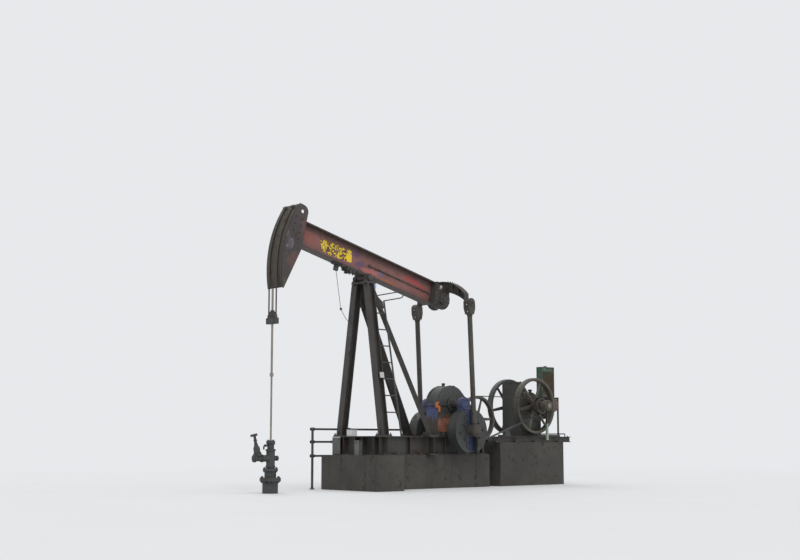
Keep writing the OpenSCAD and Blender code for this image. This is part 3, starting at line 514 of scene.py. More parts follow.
class Shape:
    """The faces of one piece, gathered from simple solids."""

    def __init__(self, place=None):
        self.mesh = bmesh.new()
        self.place = place or Matrix.Identity(4)

    def loft(self, rings, ring=False, place=None):
        """A skin over rings of points: closed at both ends, or joined end to end."""
        where = self.place @ (place or Matrix.Identity(4))
        rows = [[self.mesh.verts.new(where @ Vector(point)) for point in row] for row in rings]
        count = len(rows[0])
        pairs = list(zip(rows, rows[1:])) + ([(rows[-1], rows[0])] if ring else [])
        for low, high in pairs:
            for i in range(count):
                j = (i + 1) % count
                self.mesh.faces.new((low[i], low[j], high[j], high[i]))
        if not ring:
            self.mesh.faces.new(rows[0][::-1])
            self.mesh.faces.new(rows[-1])

    def prism(self, outline, low, high, place=None):
        """An outline in X and Y, raised from low to high."""
        self.loft([[(x, y, z) for x, y in outline] for z in (low, high)], place=place)

    def box(self, corner, opposite, place=None):
        """A box between two opposite corners, in any order."""
        (x0, x1), (y0, y1), (z0, z1) = (sorted(pair) for pair in zip(corner, opposite))
        self.prism(((x0, y0), (x1, y0), (x1, y1), (x0, y1)), z0, z1, place)

    def turned(self, profile, at, axis, sides=32):
        """A solid of revolution about an axis, from (radius, height) pairs."""
        self.loft([circle(radius, height, sides) for radius, height in profile], place=aimed(at, axis))

    def hoop(self, profile, at, axis, sides=72):
        """A closed profile of (radius, height) pairs turned about an axis into a ring."""
        rings = []
        for i in range(sides):
            angle = 2 * math.pi * i / sides
            rings.append([(r * math.cos(angle), r * math.sin(angle), z) for r, z in profile])
        self.loft(rings, ring=True, place=aimed(at, axis))

    def plate(self, outline, *faces):
        """An outline in X and Z, with its two faces at the given y."""
        self.loft([[(x, y, z) for x, z in outline] for y in sorted(faces)])

    def tube(self, path, radius, sides=12):
        """A round bar along a path."""
        points = [Vector(point) for point in path]
        rings = []
        side = None
        for i, point in enumerate(points):
            before, after = points[max(i - 1, 0)], points[min(i + 1, len(points) - 1)]
            forward = (after - before).normalized()
            side = side or forward.orthogonal().normalized()
            side = (side - forward * side.dot(forward)).normalized()
            other = forward.cross(side)
            rings.append([point + side * x + other * y for x, y, z in circle(radius, 0.0, sides)])
        self.loft(rings)

    def bolt(self, at, axis, size, length=0.012, roll=0.0):
        """A washer, a hexagon nut and the end of its stud, standing on a face."""
        place = aimed(at, axis, roll)
        washer_top = 0.12 * size
        nut_top = washer_top + 0.8 * size
        across_nut = 0.9 * size
        self.loft([circle(1.08 * size, z, 14) for z in (0.0, washer_top)], place=place)
        nut = ((across_nut, washer_top), (across_nut, washer_top + 0.68 * size), (0.84 * across_nut, nut_top))
        self.loft([circle(radius, z, 6) for radius, z in nut], place=place)
        self.loft([circle(0.5 * size, z, 8) for z in (nut_top, nut_top + length)], place=place)

    def bolts(self, xs, ys, zs, axis, size, length):
        """Bolts at every mix of the given x, y and z."""
        for at in itertools.product(listed(xs), listed(ys), listed(zs)):
            self.bolt(at, axis, size, length)

    def bolts_round(self, centre, axis, radius, count, size, turn=0.0):
        """Bolts evenly spaced on a circle about an axis."""
        place = aimed(centre, axis)
        for point in circle(radius, 0.0, count, turn):
            self.bolt(place @ Vector(point), axis, size, roll=turn)


def piece(name, shape, body, slot, look=None, bevel=0.0, replaces=(), smooth=32.0):
    """Makes a shape into an object with its finish, riding on a body of the part."""
    data = bpy.data.meshes.new(name)
    bmesh.ops.recalc_face_normals(shape.mesh, faces=shape.mesh.faces[:])
    shape.mesh.to_mesh(data)
    shape.mesh.free()
    data.shade_smooth()
    data.set_sharp_from_angle(angle=math.radians(smooth))
    data.materials.append(finishes[look or slot])
    built = bpy.data.objects.new(name, data)
    bpy.context.collection.objects.link(built)
    if bevel:
        rounding = built.modifiers.new("rounding", "BEVEL")
        rounding.width = bevel
        rounding.segments = 2
        rounding.limit_method = "ANGLE"
        rounding.angle_limit = math.radians(40.0)
    if replaces:
        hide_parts(*replaces)
    if body:
        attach(built, body)
    return built


def spoke(shape, centre, angle, inner, outer, wide, thick):
    """A tapered oval spoke in the XZ plane, thick along Y."""
    out = Vector((math.cos(angle), 0.0, math.sin(angle)))
    side = Vector((-math.sin(angle), 0.0, math.cos(angle)))
    rings = []
    for share, width, depth in ((0.0, 1.25, 1.2), (0.12, 1.0, 1.0), (0.88, 0.72, 0.8), (1.0, 0.95, 1.0)):
        point = centre + out * (inner + (outer - inner) * share)
        rings.append([
            point + side * (wide * width * x) + Vector(TO_FAR) * (thick * depth * y)
            for x, y, z in circle(1.0, 0.0, 16)
        ])
    shape.loft(rings)


def flywheels():
    """Both flywheels: a crowned rim with beads, six oval spokes and a keyed hub."""
    r, rim_half = FLYWHEEL_R, 0.065
    rim = mirrored((
        (r, 0.045), (r - 0.003, 0.058), (r - 0.012, rim_half), (r - 0.048, rim_half), (r - 0.060, 0.058),
        (r - 0.067, 0.030), (r - 0.069, 0.0),
    ))
    hub = mirrored(((0.047, 0.075), (0.078, 0.075), (0.088, 0.066), (0.098, 0.03)))
    for side, y in FLYWHEEL_Y.items():
        shape = Shape()
        centre = Vector((ENGINE.x, y, ENGINE.z))
        shape.hoop(rim, centre, TO_NEAR, 128)
        shape.hoop(hub, centre, TO_NEAR, 40)
        for i in range(6):
            spoke(shape, centre, SPOKE_TURN + i * math.pi / 3, 0.085, r - 0.055, 0.040, 0.022)
        inward = 1.0 if y < 0 else -1.0
        shape.box((ENGINE.x - 0.010, y + inward * rim_half, ENGINE.z + 0.040),
                  (ENGINE.x + 0.010, y + inward * 0.080, ENGINE.z + 0.056))
        look = NODE_FINISH.get(f"flywheel_{side}")
        piece(f"flywheel_{side}_cast", shape, "engine_drive", "flywheel_iron", look,
              replaces=(f"flywheel_{side}",))


def grooved(radius, inner, half):
    """The profile of a belt rim: four V grooves outside, a plain face inside."""
    profile = [(inner, half), (inner, -half), (radius, -half)]
    for row in BELT_ROWS:
        profile += [(radius, row - 0.010), (radius - 0.016, row - 0.004), (radius - 0.016, row + 0.004)]
        profile += [(radius, row + 0.010)]
    return profile + [(radius, half)]


def sheave():
    """The reducer's sheave: a grooved rim on a bead, five spokes and a bolted hub."""
    shape = Shape()
    rim_inner, bead_inner = 0.425, 0.412
    bead = ((rim_inner, -0.012), (0.430, -0.012), (0.430, 0.012), (bead_inner, 0.010), (bead_inner, -0.010))
    shape.hoop(grooved(SHEAVE_R, rim_inner, BELT_HALF), INPUT, TO_FAR, 112)
    shape.hoop(bead, INPUT, TO_FAR, 96)
    shape.hoop(mirrored(((0.036, BELT_HALF), (0.072, BELT_HALF), (0.082, 0.04))), INPUT, TO_FAR, 40)
    for i in range(5):
        spoke(shape, INPUT, -math.radians(72.0) * i, 0.07, 0.418, 0.034, 0.017)
    shape.bolts_round(INPUT - Vector((0.0, BELT_HALF, 0.0)), TO_NEAR, 0.058, 4, 0.012, 0.4)
    piece("sheave_cast", shape, "input_drive", "wheel_iron", replaces=("sheave",))


def pulley():
    """The engine's grooved pulley, with a thin web to its hub."""
    shape = Shape()
    web = mirrored(((0.047, BELT_HALF), (0.075, BELT_HALF), (0.080, 0.02), (0.139, 0.014)))
    shape.hoop(grooved(PULLEY_R, 0.138, BELT_HALF), ENGINE, TO_FAR, 72)
    shape.hoop(web, ENGINE, TO_FAR, 48)
    piece("drive_pulley_cast", shape, "engine_drive", "wheel_iron", replaces=("drive_pulley",))


def belt_path(big, small):
    """Points and outward directions of a belt round both wheels, in X and Z."""
    run = Vector((ENGINE.x - INPUT.x, ENGINE.z - INPUT.z))
    base = math.atan2(run.y, run.x)
    spread = math.acos((big - small) / run.length)
    path = []
    for centre, radius, start, turn in (
        (INPUT, big, base + spread, 2 * math.pi - 2 * spread),
        (ENGINE, small, base - spread, 2 * spread),
    ):
        for i in range(41):
            angle = start + turn * i / 40
            out = Vector((math.cos(angle), 0.0, math.sin(angle)))
            path.append((Vector((centre.x, 0.0, centre.z)) + out * radius, out))
    return path


def belts():
    """Four V belts, each closed round the sheave and the pulley."""
    shape = Shape()
    path = belt_path(SHEAVE_R - 0.002, PULLEY_R - 0.002)
    section = ((-0.0055, -0.009), (-0.0105, 0.005), (0.0105, 0.005), (0.0055, -0.009))
    for row in BELT_ROWS:
        rings = []
        for point, out in path:
            middle = Vector((point.x, INPUT.y + row, point.z))
            rings.append([middle + across(y) + out * height for y, height in section])
        shape.loft(rings, ring=True)
    piece("v_belts", shape, "frame", "belt_rubber", replaces=("drive_belt",), smooth=50.0)


def rope_ring(point, out, twist):
    """One section of a six-strand rope."""
    ring = []
    for x, y, z in circle(1.0, 0.0, 24):
        bulge = WIRE_R * (0.84 + 0.16 * abs(math.cos(3.0 * (math.atan2(y, x) - twist))))
        ring.append(point + out * (bulge * x) + Vector(TO_FAR) * (bulge * y))
    return ring


def wirelines():
    """The two wirelines: over the head's arc, and hanging down to the carrier bar."""
    twist = 2 * math.pi / STRAND_PITCH
    arc, hanging = Shape(), Shape()
    reach, drop = WIRE_ANCHOR + BEAM_TILT, PIVOT.z - CARRIER_TOP
    arc_steps, hanging_steps = 180, 130
    for side in SIDES:
        centre = PIVOT + across(side * WIRE_Y)
        angles = [reach * i / arc_steps for i in range(arc_steps + 1)]
        arc.loft([
            rope_ring(centre + arc_direction(a) * WIRE_LINE, arc_direction(a), a * WIRE_LINE * twist)
            for a in angles
        ])
        falls = [drop * i / hanging_steps for i in range(hanging_steps + 1)]
        hanging.loft([
            rope_ring(centre + Vector((-WIRE_LINE, 0.0, -fall)), Vector(TO_WELL), -fall * twist)
            for fall in falls
        ])
    rope = piece("wirelines_on_head", arc, None, "wire_steel", replaces=("head_wirelines",), smooth=80.0)
    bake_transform(rope)
    rope = piece("wirelines_hanging", hanging, None, "wire_steel",
                 replaces=("hanging_wirelines",), smooth=80.0)
    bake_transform(rope)


def head_bolts():
    """The wirelines' clamps at the top of the arc, and the bolts of the head's side plates."""
    shape = Shape(ON_BEAM)
    out = arc_direction(WIRE_ANCHOR - 0.010)
    clamp_top = 0.036
    for side in SIDES:
        place = aimed(out * (HEAD_R + 0.001) + across(side * WIRE_Y), out)
        shape.box((-0.042, -0.024, 0.0), (0.042, 0.024, clamp_top), place)
        for at in SIDES:
            shape.bolt(place @ Vector((at * 0.030, 0.0, clamp_top)), out, 0.009, 0.006)
        shape.bolts((-1.98, -1.83), side * HEAD_HALF, (0.10, 0.23, 0.37, 0.50), across(side), 0.013, 0.008)
    piece("head_bolts", shape, "walking_beam", "head_paint")


def head_welds():
    """Weld beads along the head's edges, and the stiffeners between its side plates."""
    shape = Shape(ON_BEAM)
    low, high = -math.asin(HEAD_DROP / HEAD_R), math.asin(HEAD_RISE / HEAD_R)
    for side in SIDES:
        bead = [arc_direction(low + (high - low) * i / 60) * (HEAD_R - 0.021) for i in range(61)]
        shape.tube([point + across(side * (HEAD_HALF + 0.001)) for point in bead], 0.006, 6)
        shape.tube(((-1.910, side * 0.2195, -0.878), (-1.714, side * 0.2195, -0.052)), 0.004, 6)
    for w in (-0.42, -0.18, 0.30):
        shape.box((-2.05, -0.204, w), (-1.80, 0.204, w + 0.012))
    piece("head_welds", shape, "walking_beam", "head_paint")


def beam_bolts():
    """Bolts of the saddle, the tail and the lug, and the adjusters in front of the saddle."""
    shape = Shape(ON_BEAM)
    flange = BEAM_LOW + BEAM_FLANGE
    saddle_us = (-0.205, -0.135, 0.135, 0.205)
    for side in SIDES:
        shape.bolts(saddle_us, side * 0.084, flange, UP, 0.016, 0.012)
        shape.bolts(saddle_us, side * 0.084, 0.030, DOWN, 0.016, 0.02)
        shape.bolts(BEAM_END + 0.025, side * 0.115, (0.12, 0.22, 0.38, 0.48), TO_ENGINE, 0.014, 0.008)
        shape.bolts((-0.77, -0.62), side * 0.085, flange, UP, 0.012, 0.008)
    for u, depth in ((-0.46, 0.055), (-0.385, 0.085), (-0.315, 0.060)):
        for side in SIDES:
            shape.box((u - 0.026, side * 0.045, BEAM_LOW - depth), (u + 0.026, side * 0.095, BEAM_LOW))
        shape.bolt((u, -0.070, BEAM_LOW - depth), DOWN, 0.015, 0.03)
    shape.box((-0.50, -0.098, BEAM_LOW - 0.018), (-0.245, 0.098, BEAM_LOW - 0.0005))
    piece("beam_bolts", shape, "walking_beam", "post_steel")


def tail_fittings():
    """The tail bearing's covers and brackets, and the bright disc and plate on the near one."""
    u, w, face = 2.01, 0.25, 0.182
    shape = Shape(ON_BEAM)
    disc = ((0.030, 0.0), (0.030, 0.010), (0.021, 0.016), (0.004, 0.018))
    shape.turned(disc, (1.868, -face, 0.452), TO_NEAR, 16)
    shape.box((1.84, -0.1835, 0.41), (1.89, -face, 0.49))
    piece("tail_bright_plate", shape, "walking_beam", "post_steel", look="bright_steel")

    shape = Shape(ON_BEAM)
    cover = ((0.118, 0.0), (0.118, 0.016), (0.100, 0.024), (0.062, 0.024), (0.058, 0.032), (0.004, 0.034))
    for side in SIDES:
        shape.turned(cover, (u, side * face, w), across(side), 40)
        shape.bolts_round((u, side * (face + 0.024), w), across(side), 0.082, 6, 0.011, 0.3)
        shape.box((1.79, side * 0.150, 0.345), (1.93, side * face, 0.50))
        shape.plate(((1.79, 0.06), (1.79, 0.155), (1.93, 0.155)), side * 0.15, side * 0.166)
    piece("tail_caps", shape, "walking_beam", "post_steel")


def grease_fittings():
    """Fittings at both ends of the grease line along the web, and its unions."""
    shape = Shape(ON_BEAM)
    line_w, line_y = 0.288, -0.0225
    block = ((0.022, 0.0), (0.026, 0.010), (0.026, 0.030), (0.014, 0.040), (0.004, 0.042))
    nipple = ((0.014, 0.0), (0.018, 0.008), (0.018, 0.024), (0.004, 0.030))
    shape.turned(block, (0.082, -0.013, line_w), TO_NEAR, 16)
    shape.turned(nipple, (1.70, -0.013, line_w), TO_NEAR, 14)
    for u in (0.35, 0.86, 1.42):
        shape.hoop(collar(0.012, 0.016, 0.012), (u, line_y, line_w), TO_ENGINE, 14)
    piece("grease_fittings", shape, "walking_beam", "bar_steel")


def lug_cord():
    """The thin line from the lug under the beam to the far front leg, bent round its weight."""
    top = ON_BEAM @ Vector((-0.69, -0.02, -0.080))
    knob = Vector((-0.565, -0.02, 3.41))
    leg = Vector((-0.076, 0.245, 3.19))
    radius, turn, slack, points = 0.005, 0.030, 0.05, 12
    before, after = (top - knob).normalized() * turn, (leg - knob).normalized() * turn
    path = [top.lerp(knob + before, i / points) for i in range(points)]
    for i in range(points + 1):
        share = i / points
        path.append(knob + before * (1 - share) ** 2 + after * share ** 2)
    for i in range(1, points + 1):
        sag = Vector((0.0, 0.0, slack * math.sin(math.pi * i / points)))
        path.append((knob + after).lerp(leg, i / points) - sag)
    shape = Shape()
    shape.tube(path, radius, 8)
    line = piece("lug_cord", shape, None, "bar_steel", smooth=60.0)
    shape = Shape()
    bob = mirrored(((0.006, 0.026), (0.020, 0.018), (0.024, 0.0)))
    shape.turned(bob, path[points + points // 2], (0.2, 0.0, 1.0), 14)
    weight = piece("lug_cord_weight", shape, "frame", "bar_steel")
    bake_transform(line)


def post_bolts():
    """Bolts of the post's cap and feet, and the end covers of the saddle bearing."""
    shape = Shape()
    cover = ((0.064, 0.0), (0.064, 0.010), (0.048, 0.018), (0.004, 0.020))
    for side in SIDES:
        shape.bolts((-0.088, 0.128), side * 0.165, CAP_TOP + 0.030, UP, 0.017, 0.016)
        shape.bolts((-0.088, 0.128), side * 0.165, CAP_TOP - 0.036, DOWN, 0.017, 0.010)
        shape.turned(cover, (0.0, side * 0.225, PIVOT.z), across(side), 28)
        shape.bolts((-0.088, 0.088), (side * 0.527, side * 0.713), FOOT_TOP, UP, 0.019, 0.02)
        shape.bolts((1.385, 1.595), (side * 0.25, side * 0.40), FOOT_TOP, UP, 0.019, 0.02)
    piece("post_bolts", shape, "frame", "post_steel")


def post_plates():
    """The knee plates below the cap, gussets at the front legs' feet, and two small plates."""
    shape = Shape()
    knee = ((0.082, 3.86), (0.082, 3.52), (0.30, 3.44), (0.36, 3.48), (0.33, 3.60), (0.20, 3.70))
    for side in SIDES:
        shape.plate(knee, side * 0.196, side * 0.210)
        for x, z in ((0.12, 3.78), (0.12, 3.58), (0.25, 3.55), (0.22, 3.64)):
            shape.bolt((x, side * 0.210, z), across(side), 0.013, 0.008)
        for way in SIDES:
            gusset = ((way * 0.10, FOOT_TOP), (way * 0.076, FOOT_TOP), (way * 0.076, BASE_TOP + 0.17))
            shape.plate(gusset, side * 0.61 - 0.006, side * 0.61 + 0.006)
    piece("post_plates", shape, "frame", "post_steel", bevel=0.002)

    shape = Shape()
    shape.box((0.078, -0.248, 3.835), (0.128, -0.222, 3.925))
    piece("post_blue_plate", shape, "frame", "bar_steel", look="pale_blue", bevel=0.004)

    shape = Shape()
    tilt = Matrix.Translation((0.03, -0.532, 2.165)) @ Matrix.Rotation(math.radians(-8.5), 4, "X")
    shape.box((-0.052, -0.004, -0.055), (0.052, 0.004, 0.055), tilt)
    for x in (-0.04, 0.04):
        shape.bolt(tilt @ Vector((x, -0.004, 0.042)), (0.0, -1.0, 0.15), 0.006, 0.002)
    piece("leg_tag", shape, "frame", "bar_steel", look="tag_white", bevel=0.001)


def rung_welds():
    """Weld collars where the rungs meet the leg and the ladder's rail, which both lean."""
    shape = Shape()
    first, pitch, rungs = 1.463, 0.316, 7
    leg_y, leg_lean = -0.684, 0.446 / 2.918
    rail_x, rail_foot, rail_lean = 0.385, 1.03, -0.097 / 2.57
    for i in range(rungs):
        z = first + pitch * i
        y = leg_y + leg_lean * (z - BASE_TOP)
        x = rail_x + rail_lean * (z - rail_foot)
        shape.hoop(((0.0125, 0.0), (0.020, 0.0), (0.0125, 0.010)), (0.0755, y, z), TO_ENGINE, 14)
        shape.hoop(((0.0125, 0.0), (0.019, 0.0), (0.0125, 0.010)), (x - 0.017, y, z), TO_WELL, 14)
    piece("rung_welds", shape, "frame", "bar_steel")


def ladder_hoop():
    """The round bar bent out from the rear leg and back over the ladder's rail."""
    out, side = Vector((0.59066, -0.79403, 0.14366)), Vector((0.39556, 0.12976, -0.90923))
    foot = Vector((0.14934, -0.18606, 3.705))
    bend, reach, start, end, steps = 0.06343, 0.48, 0.0077, 0.1371, 6
    path = [foot + out * (start + (reach - start) * i / steps) for i in range(steps)]
    for i in range(17):
        turn = math.pi * i / 16
        path.append(foot + out * (reach + bend * math.sin(turn)) + side * (bend - bend * math.cos(turn)))
    back = [reach - (reach - end) * i / steps for i in range(1, steps + 1)]
    path += [foot + side * 2 * bend + out * along_bar for along_bar in back]
    shape = Shape()
    shape.tube(path, 0.0109, 16)
    piece("ladder_hoop_bar", shape, "frame", "bar_steel", replaces=("ladder_hoop",), smooth=60.0)


def base_stiffeners():
    """Web stiffeners of the base's rails and of its front cross beam."""
    shape = Shape()
    low, high = RAIL_LOW + 0.018, BASE_TOP - 0.018
    for side, face in itertools.product(SIDES, SIDES):
        for x in (0.45, 1.00, 1.95, 2.50, 3.00):
            web = side * RAIL_Y
            shape.box((x - 0.007, web + face * 0.0065, low), (x + 0.007, web + face * 0.070, high))
        for y in (side * 0.10, side * 0.45, side * 0.62):
            shape.box((face * 0.0075, y - 0.008, low + 0.002), (face * 0.104, y + 0.008, high - 0.002))
    piece("base_stiffeners", shape, "frame", "base_steel", bevel=0.0015)


def anchor_bolts():
    """Clamps and anchor bolts of the base, and those of the engine's skid."""
    shape = Shape()
    rail, clamp = RAIL_LOW + 0.018, RAIL_LOW + 0.036
    for side in SIDES:
        for x in (0.62, 1.25, 1.75, 2.30, 2.85):
            shape.box((x - 0.045, side * 0.235, rail), (x + 0.045, side * 0.292, clamp))
            shape.bolt((x, side * 0.283, clamp), UP, 0.018, 0.04)
        shape.bolts((-0.085, 0.085), (side * 0.36, side * 0.74), RAIL_LOW + 0.020, UP, 0.018, 0.03)
    skid, skid_clamp = 0.900, 0.930
    for x, (y, far) in itertools.product((3.35, 3.95, 4.55, 5.30), ((-0.325, 0.05), (0.805, 0.03))):
        shape.box((x - 0.04, y - 0.03, skid), (x + 0.04, y + far, skid_clamp))
        shape.bolt((x, y - 0.005, skid_clamp), UP, 0.017, 0.04)
    piece("anchor_bolts", shape, "frame", "base_steel")


def box_lids():
    """Cover screws and lids of the two boxes by the foot of the legs."""
    shape = Shape()
    shape.bolts(-0.1262, (0.56, 0.71), (0.72, 0.96), TO_WELL, 0.011, 0.006)
    shape.box((-0.075, 0.235, 1.13), (0.075, 0.385, 1.142))
    shape.box((-0.078, 0.29, 1.085), (-0.070, 0.33, 1.115))
    shape.box((-0.204, -0.146, 0.930), (-0.110, 0.006, 0.940))
    piece("box_lids", shape, "frame", "pale_paint", bevel=0.002)


def guard_sleeves():
    """Sleeves where the guard's rails cross its posts, and the posts' flanges."""
    shape = Shape()
    rail_y, posts, heights = 0.95, (-0.46, 0.44, 1.34, 2.24), (0.64, 0.91, 1.155)
    flange = ((0.060, 0.0), (0.060, 0.010), (0.030, 0.014), (0.026, 0.05))
    sleeve = mirrored(((0.0205, 0.045), (0.030, 0.045), (0.032, 0.035)))
    for x in posts:
        shape.turned(flange, (x, rail_y, 0.0), UP, 24)
        for z in heights:
            shape.hoop(sleeve, (x, rail_y, z), TO_ENGINE, 20)
            shape.hoop(collar(0.0245, 0.031, 0.032, 0.002), (x, rail_y, z), UP, 20)
    piece("guard_sleeves", shape, "frame", "bar_steel")


def upper_edge(y, inset=0.0):
    """Height of the equalizer's upper edge over the tail axis, less an inset."""
    radius, rise = 0.956, 0.373
    return rise - radius + math.sqrt((radius - inset) ** 2 - y * y)


def lower_edge(y, inset=0.0):
    """Height of the equalizer's lower edge over the tail axis, plus an inset."""
    radius, rise = 1.205, 0.152
    return rise - radius + math.sqrt((radius + inset) ** 2 - y * y)


def equalizer_steel():
    """The equalizer as an arched I section with stiffeners, ends and the tail bearing's housing."""
    shape = Shape(Matrix.Translation(TAIL))
    x0, x1, middle = 0.065, 0.195, 0.130
    end, plate, web_half, overlap = 0.695, 0.018, 0.010, 0.010
    for front, rear, low, low_inset, top, top_inset in (
        (x0, x1, upper_edge, plate, upper_edge, 0.0),
        (x0, x1, lower_edge, 0.0, lower_edge, plate),
        (middle - web_half, middle + web_half, lower_edge, overlap, upper_edge, overlap),
    ):
        rings = []
        for i in range(49):
            y = (end - 0.005) * (i / 24 - 1.0)
            z0, z1 = low(y, low_inset), top(y, top_inset)
            rings.append([(front, y, z0), (rear, y, z0), (rear, y, z1), (front, y, z1)])
        shape.loft(rings)
    for y in (-end, -0.52, -0.34, 0.34, 0.52, end - plate):
        far = y + (plate if abs(y) > 0.6 else 0.012)
        low, high = max(lower_edge(y), lower_edge(far)), min(upper_edge(y), upper_edge(far))
        shape.box((x0 + 0.002, y, low), (x1 - 0.002, far, high))
    # Bearing housing with its cap flanges
    housing = mirrored((
        (0.0555, 0.145), (0.150, 0.145), (0.158, 0.135), (0.215, 0.125), (0.215, 0.100), (0.190, 0.092),
    ))
    shape.hoop(housing, (0.0, 0.0, 0.0), TO_FAR)
    shape.box((0.02, -0.140, 0.02), (x1 - 0.002, 0.140, 0.21))
    shape.box((0.02, -0.140, -0.115), (0.12, 0.140, 0.02))
    for y in (-0.122, 0.108):
        shape.plate(((0.02, -0.10), (0.16, 0.0), (0.193, 0.16), (0.06, 0.30), (0.066, 0.12)), y, y + 0.014)
    piece("equalizer_steel", shape, "pitman_arms", "equalizer_paint", replaces=("equalizer",), bevel=0.002)


def equalizer_bolts():
    """Bolts round the tail bearing's housing, and on the equalizer's top."""
    shape = Shape(Matrix.Translation(TAIL))
    for side in SIDES:
        shape.bolts_round((0.0, side * 0.126, 0.0), across(side), 0.187, 12, 0.011, 0.13)
        for x, y in itertools.product((0.095, 0.165), (0.20, 0.27)):
            shape.bolt((x, side * y, upper_edge(y) - 0.001), (0.0, y * side * 1.05, 1.0), 0.013, 0.008)
    piece("equalizer_bolts", shape, "pitman_arms", "equalizer_paint")


def pitman_fittings():
    """Bearing caps, clamp bands, bolts and grease fittings at both ends of each pitman."""
    shape, bright = Shape(), Shape()
    run = (WRIST - PITMAN_TOP).normalized()
    foot_cap = ((0.098, 0.0), (0.098, 0.012), (0.080, 0.020), (0.004, 0.022))
    head_cap = ((0.066, 0.0), (0.066, 0.012), (0.05, 0.018), (0.004, 0.020))
    nipple = ((0.012, 0.0), (0.014, 0.006), (0.014, 0.014), (0.006, 0.022), (0.003, 0.026))
    for side in SIDES:
        outward, face = across(side), across(side * 0.075)
        top = Vector((PITMAN_TOP.x, side * PITMAN_TOP.y, PITMAN_TOP.z))
        low = Vector((WRIST.x, side * WRIST.y, WRIST.z))
        shape.turned(foot_cap, low + face, outward, 36)
        shape.bolts_round(low + face + across(side * 0.010), outward, 0.084, 6, 0.010, 0.2)
        shape.turned(head_cap, top + face, outward, 32)
        shape.bolt(top + face + across(side * 0.018), outward, 0.024)
        for at in (top + run * 0.245, low - run * 0.16):
            shape.hoop(collar(0.0505, 0.060, 0.022, 0.004), at, run, 36)
        for way in SIDES:
            shape.bolt(top + Vector((way * 0.091, 0.0, -0.06)), along(way), 0.017, 0.014)
            shape.bolt(low + Vector((way * 0.124, 0.0, 0.0)), along(way), 0.017, 0.014)
        for drop, out in ((0.045, -0.088), (0.185, -0.066)):
            bright.turned(nipple, top + run * drop + Vector((out, -0.02, 0.0)), (-1.0, 0.0, 0.1), 12)
    piece("pitman_caps", shape, "pitman_arms", "equalizer_paint")
    piece("pitman_grease_fittings", bright, "pitman_arms", "equalizer_paint", look="bright_steel")


def crank_ribs():
    """Ribs round the edge of each crank, its hub and key, and its bolts."""
    shape = Shape(ON_CRANK)
    hub = ((0.082, 0.0), (0.118, 0.0), (0.112, 0.022), (0.082, 0.022))
    shaft_end = ((0.078, 0.0), (0.078, 0.014), (0.070, 0.018), (0.004, 0.018))
    edge, bottom = 0.125, -0.96
    for side in SIDES:
        face = side * CRANK_FACE
        rib = face + side * 0.016
        for way in SIDES:
            shape.box((way * 0.105, face, -0.95), (way * edge, rib, -0.14))
        shape.box((-edge, face, bottom), (edge, rib, bottom + 0.025))
        shape.hoop(hub, (0.0, face, 0.0), across(side), 40)
        shape.turned(shaft_end, (0.0, face, 0.0), across(side), 36)
        shape.box((-0.012, face, 0.060), (0.012, face + side * 0.026, 0.10))
        shape.bolts(0.0, face, (-0.22, -0.32, -0.78, -0.88), across(side), 0.020, 0.02)
    piece("crank_ribs", shape, "cranks", "crank_paint")


def weight_bolts():
    """Bolts and upright ribs on the faces of the counterweights."""
    shape = Shape(ON_CRANK)
    for side, way in itertools.product(SIDES, SIDES):
        face = side * WEIGHT_FACE
        for x, z in ((0.20, -0.40), (0.20, -0.69), (0.31, -0.545)):
            shape.bolt((way * x, face, z), across(side), 0.026, 0.02)
        shape.box((way * 0.135, face, -0.86), (way * 0.165, face + side * 0.014, -0.23))
    piece("weight_bolts", shape, "cranks", "weight_iron")


def reducer_side(shape, side):
    """Bearing covers, flange and foot bolts, and ribs on one side of the reducer."""
    outward = across(side)
    at = Vector((CRANKSHAFT.x, side * 0.225, CRANKSHAFT.z))
    cover = ((0.084, 0.0), (0.142, 0.0), (0.136, 0.012), (0.100, 0.020), (0.084, 0.020))
    shape.hoop(cover, at, outward, 48)
    shape.bolts_round(at + across(side * 0.010), outward, 0.122, 8, 0.012, 0.2)
    at = Vector((INPUT.x, side * 0.195, INPUT.z))
    shape.hoop(((0.040, 0.0), (0.096, 0.0), (0.090, 0.018), (0.040, 0.022)), at, outward, 36)
    shape.bolts_round(at + across(side * 0.014), outward, 0.076, 6, 0.010, 0.1)
    flange_xs = (1.83, 1.95, 2.47, 2.57)
    shape.bolts(flange_xs, side * 0.205, 1.684, UP, 0.013, 0.010)
    shape.bolts(flange_xs, side * 0.205, 1.636, DOWN, 0.013, 0.014)
    for x in (1.90, 2.18, 2.46, 2.74):
        shape.bolt((x, side * 0.257, 1.06), UP, 0.018, 0.018)
        shape.box((x - 0.006, side * 0.195, 1.10), (x + 0.006, side * 0.222, 1.34))
    # The rib over the dome
    angles = [math.radians(30 + 130 * i / 40) for i in range(41)]
    rib = [(0.370, a) for a in angles] + [(0.382, a) for a in angles[::-1]]
    rib = [(CRANKSHAFT.x + r * math.cos(a), CRANKSHAFT.z + r * math.sin(a)) for r, a in rib]
    shape.plate(rib, side * 0.14, side * 0.154)


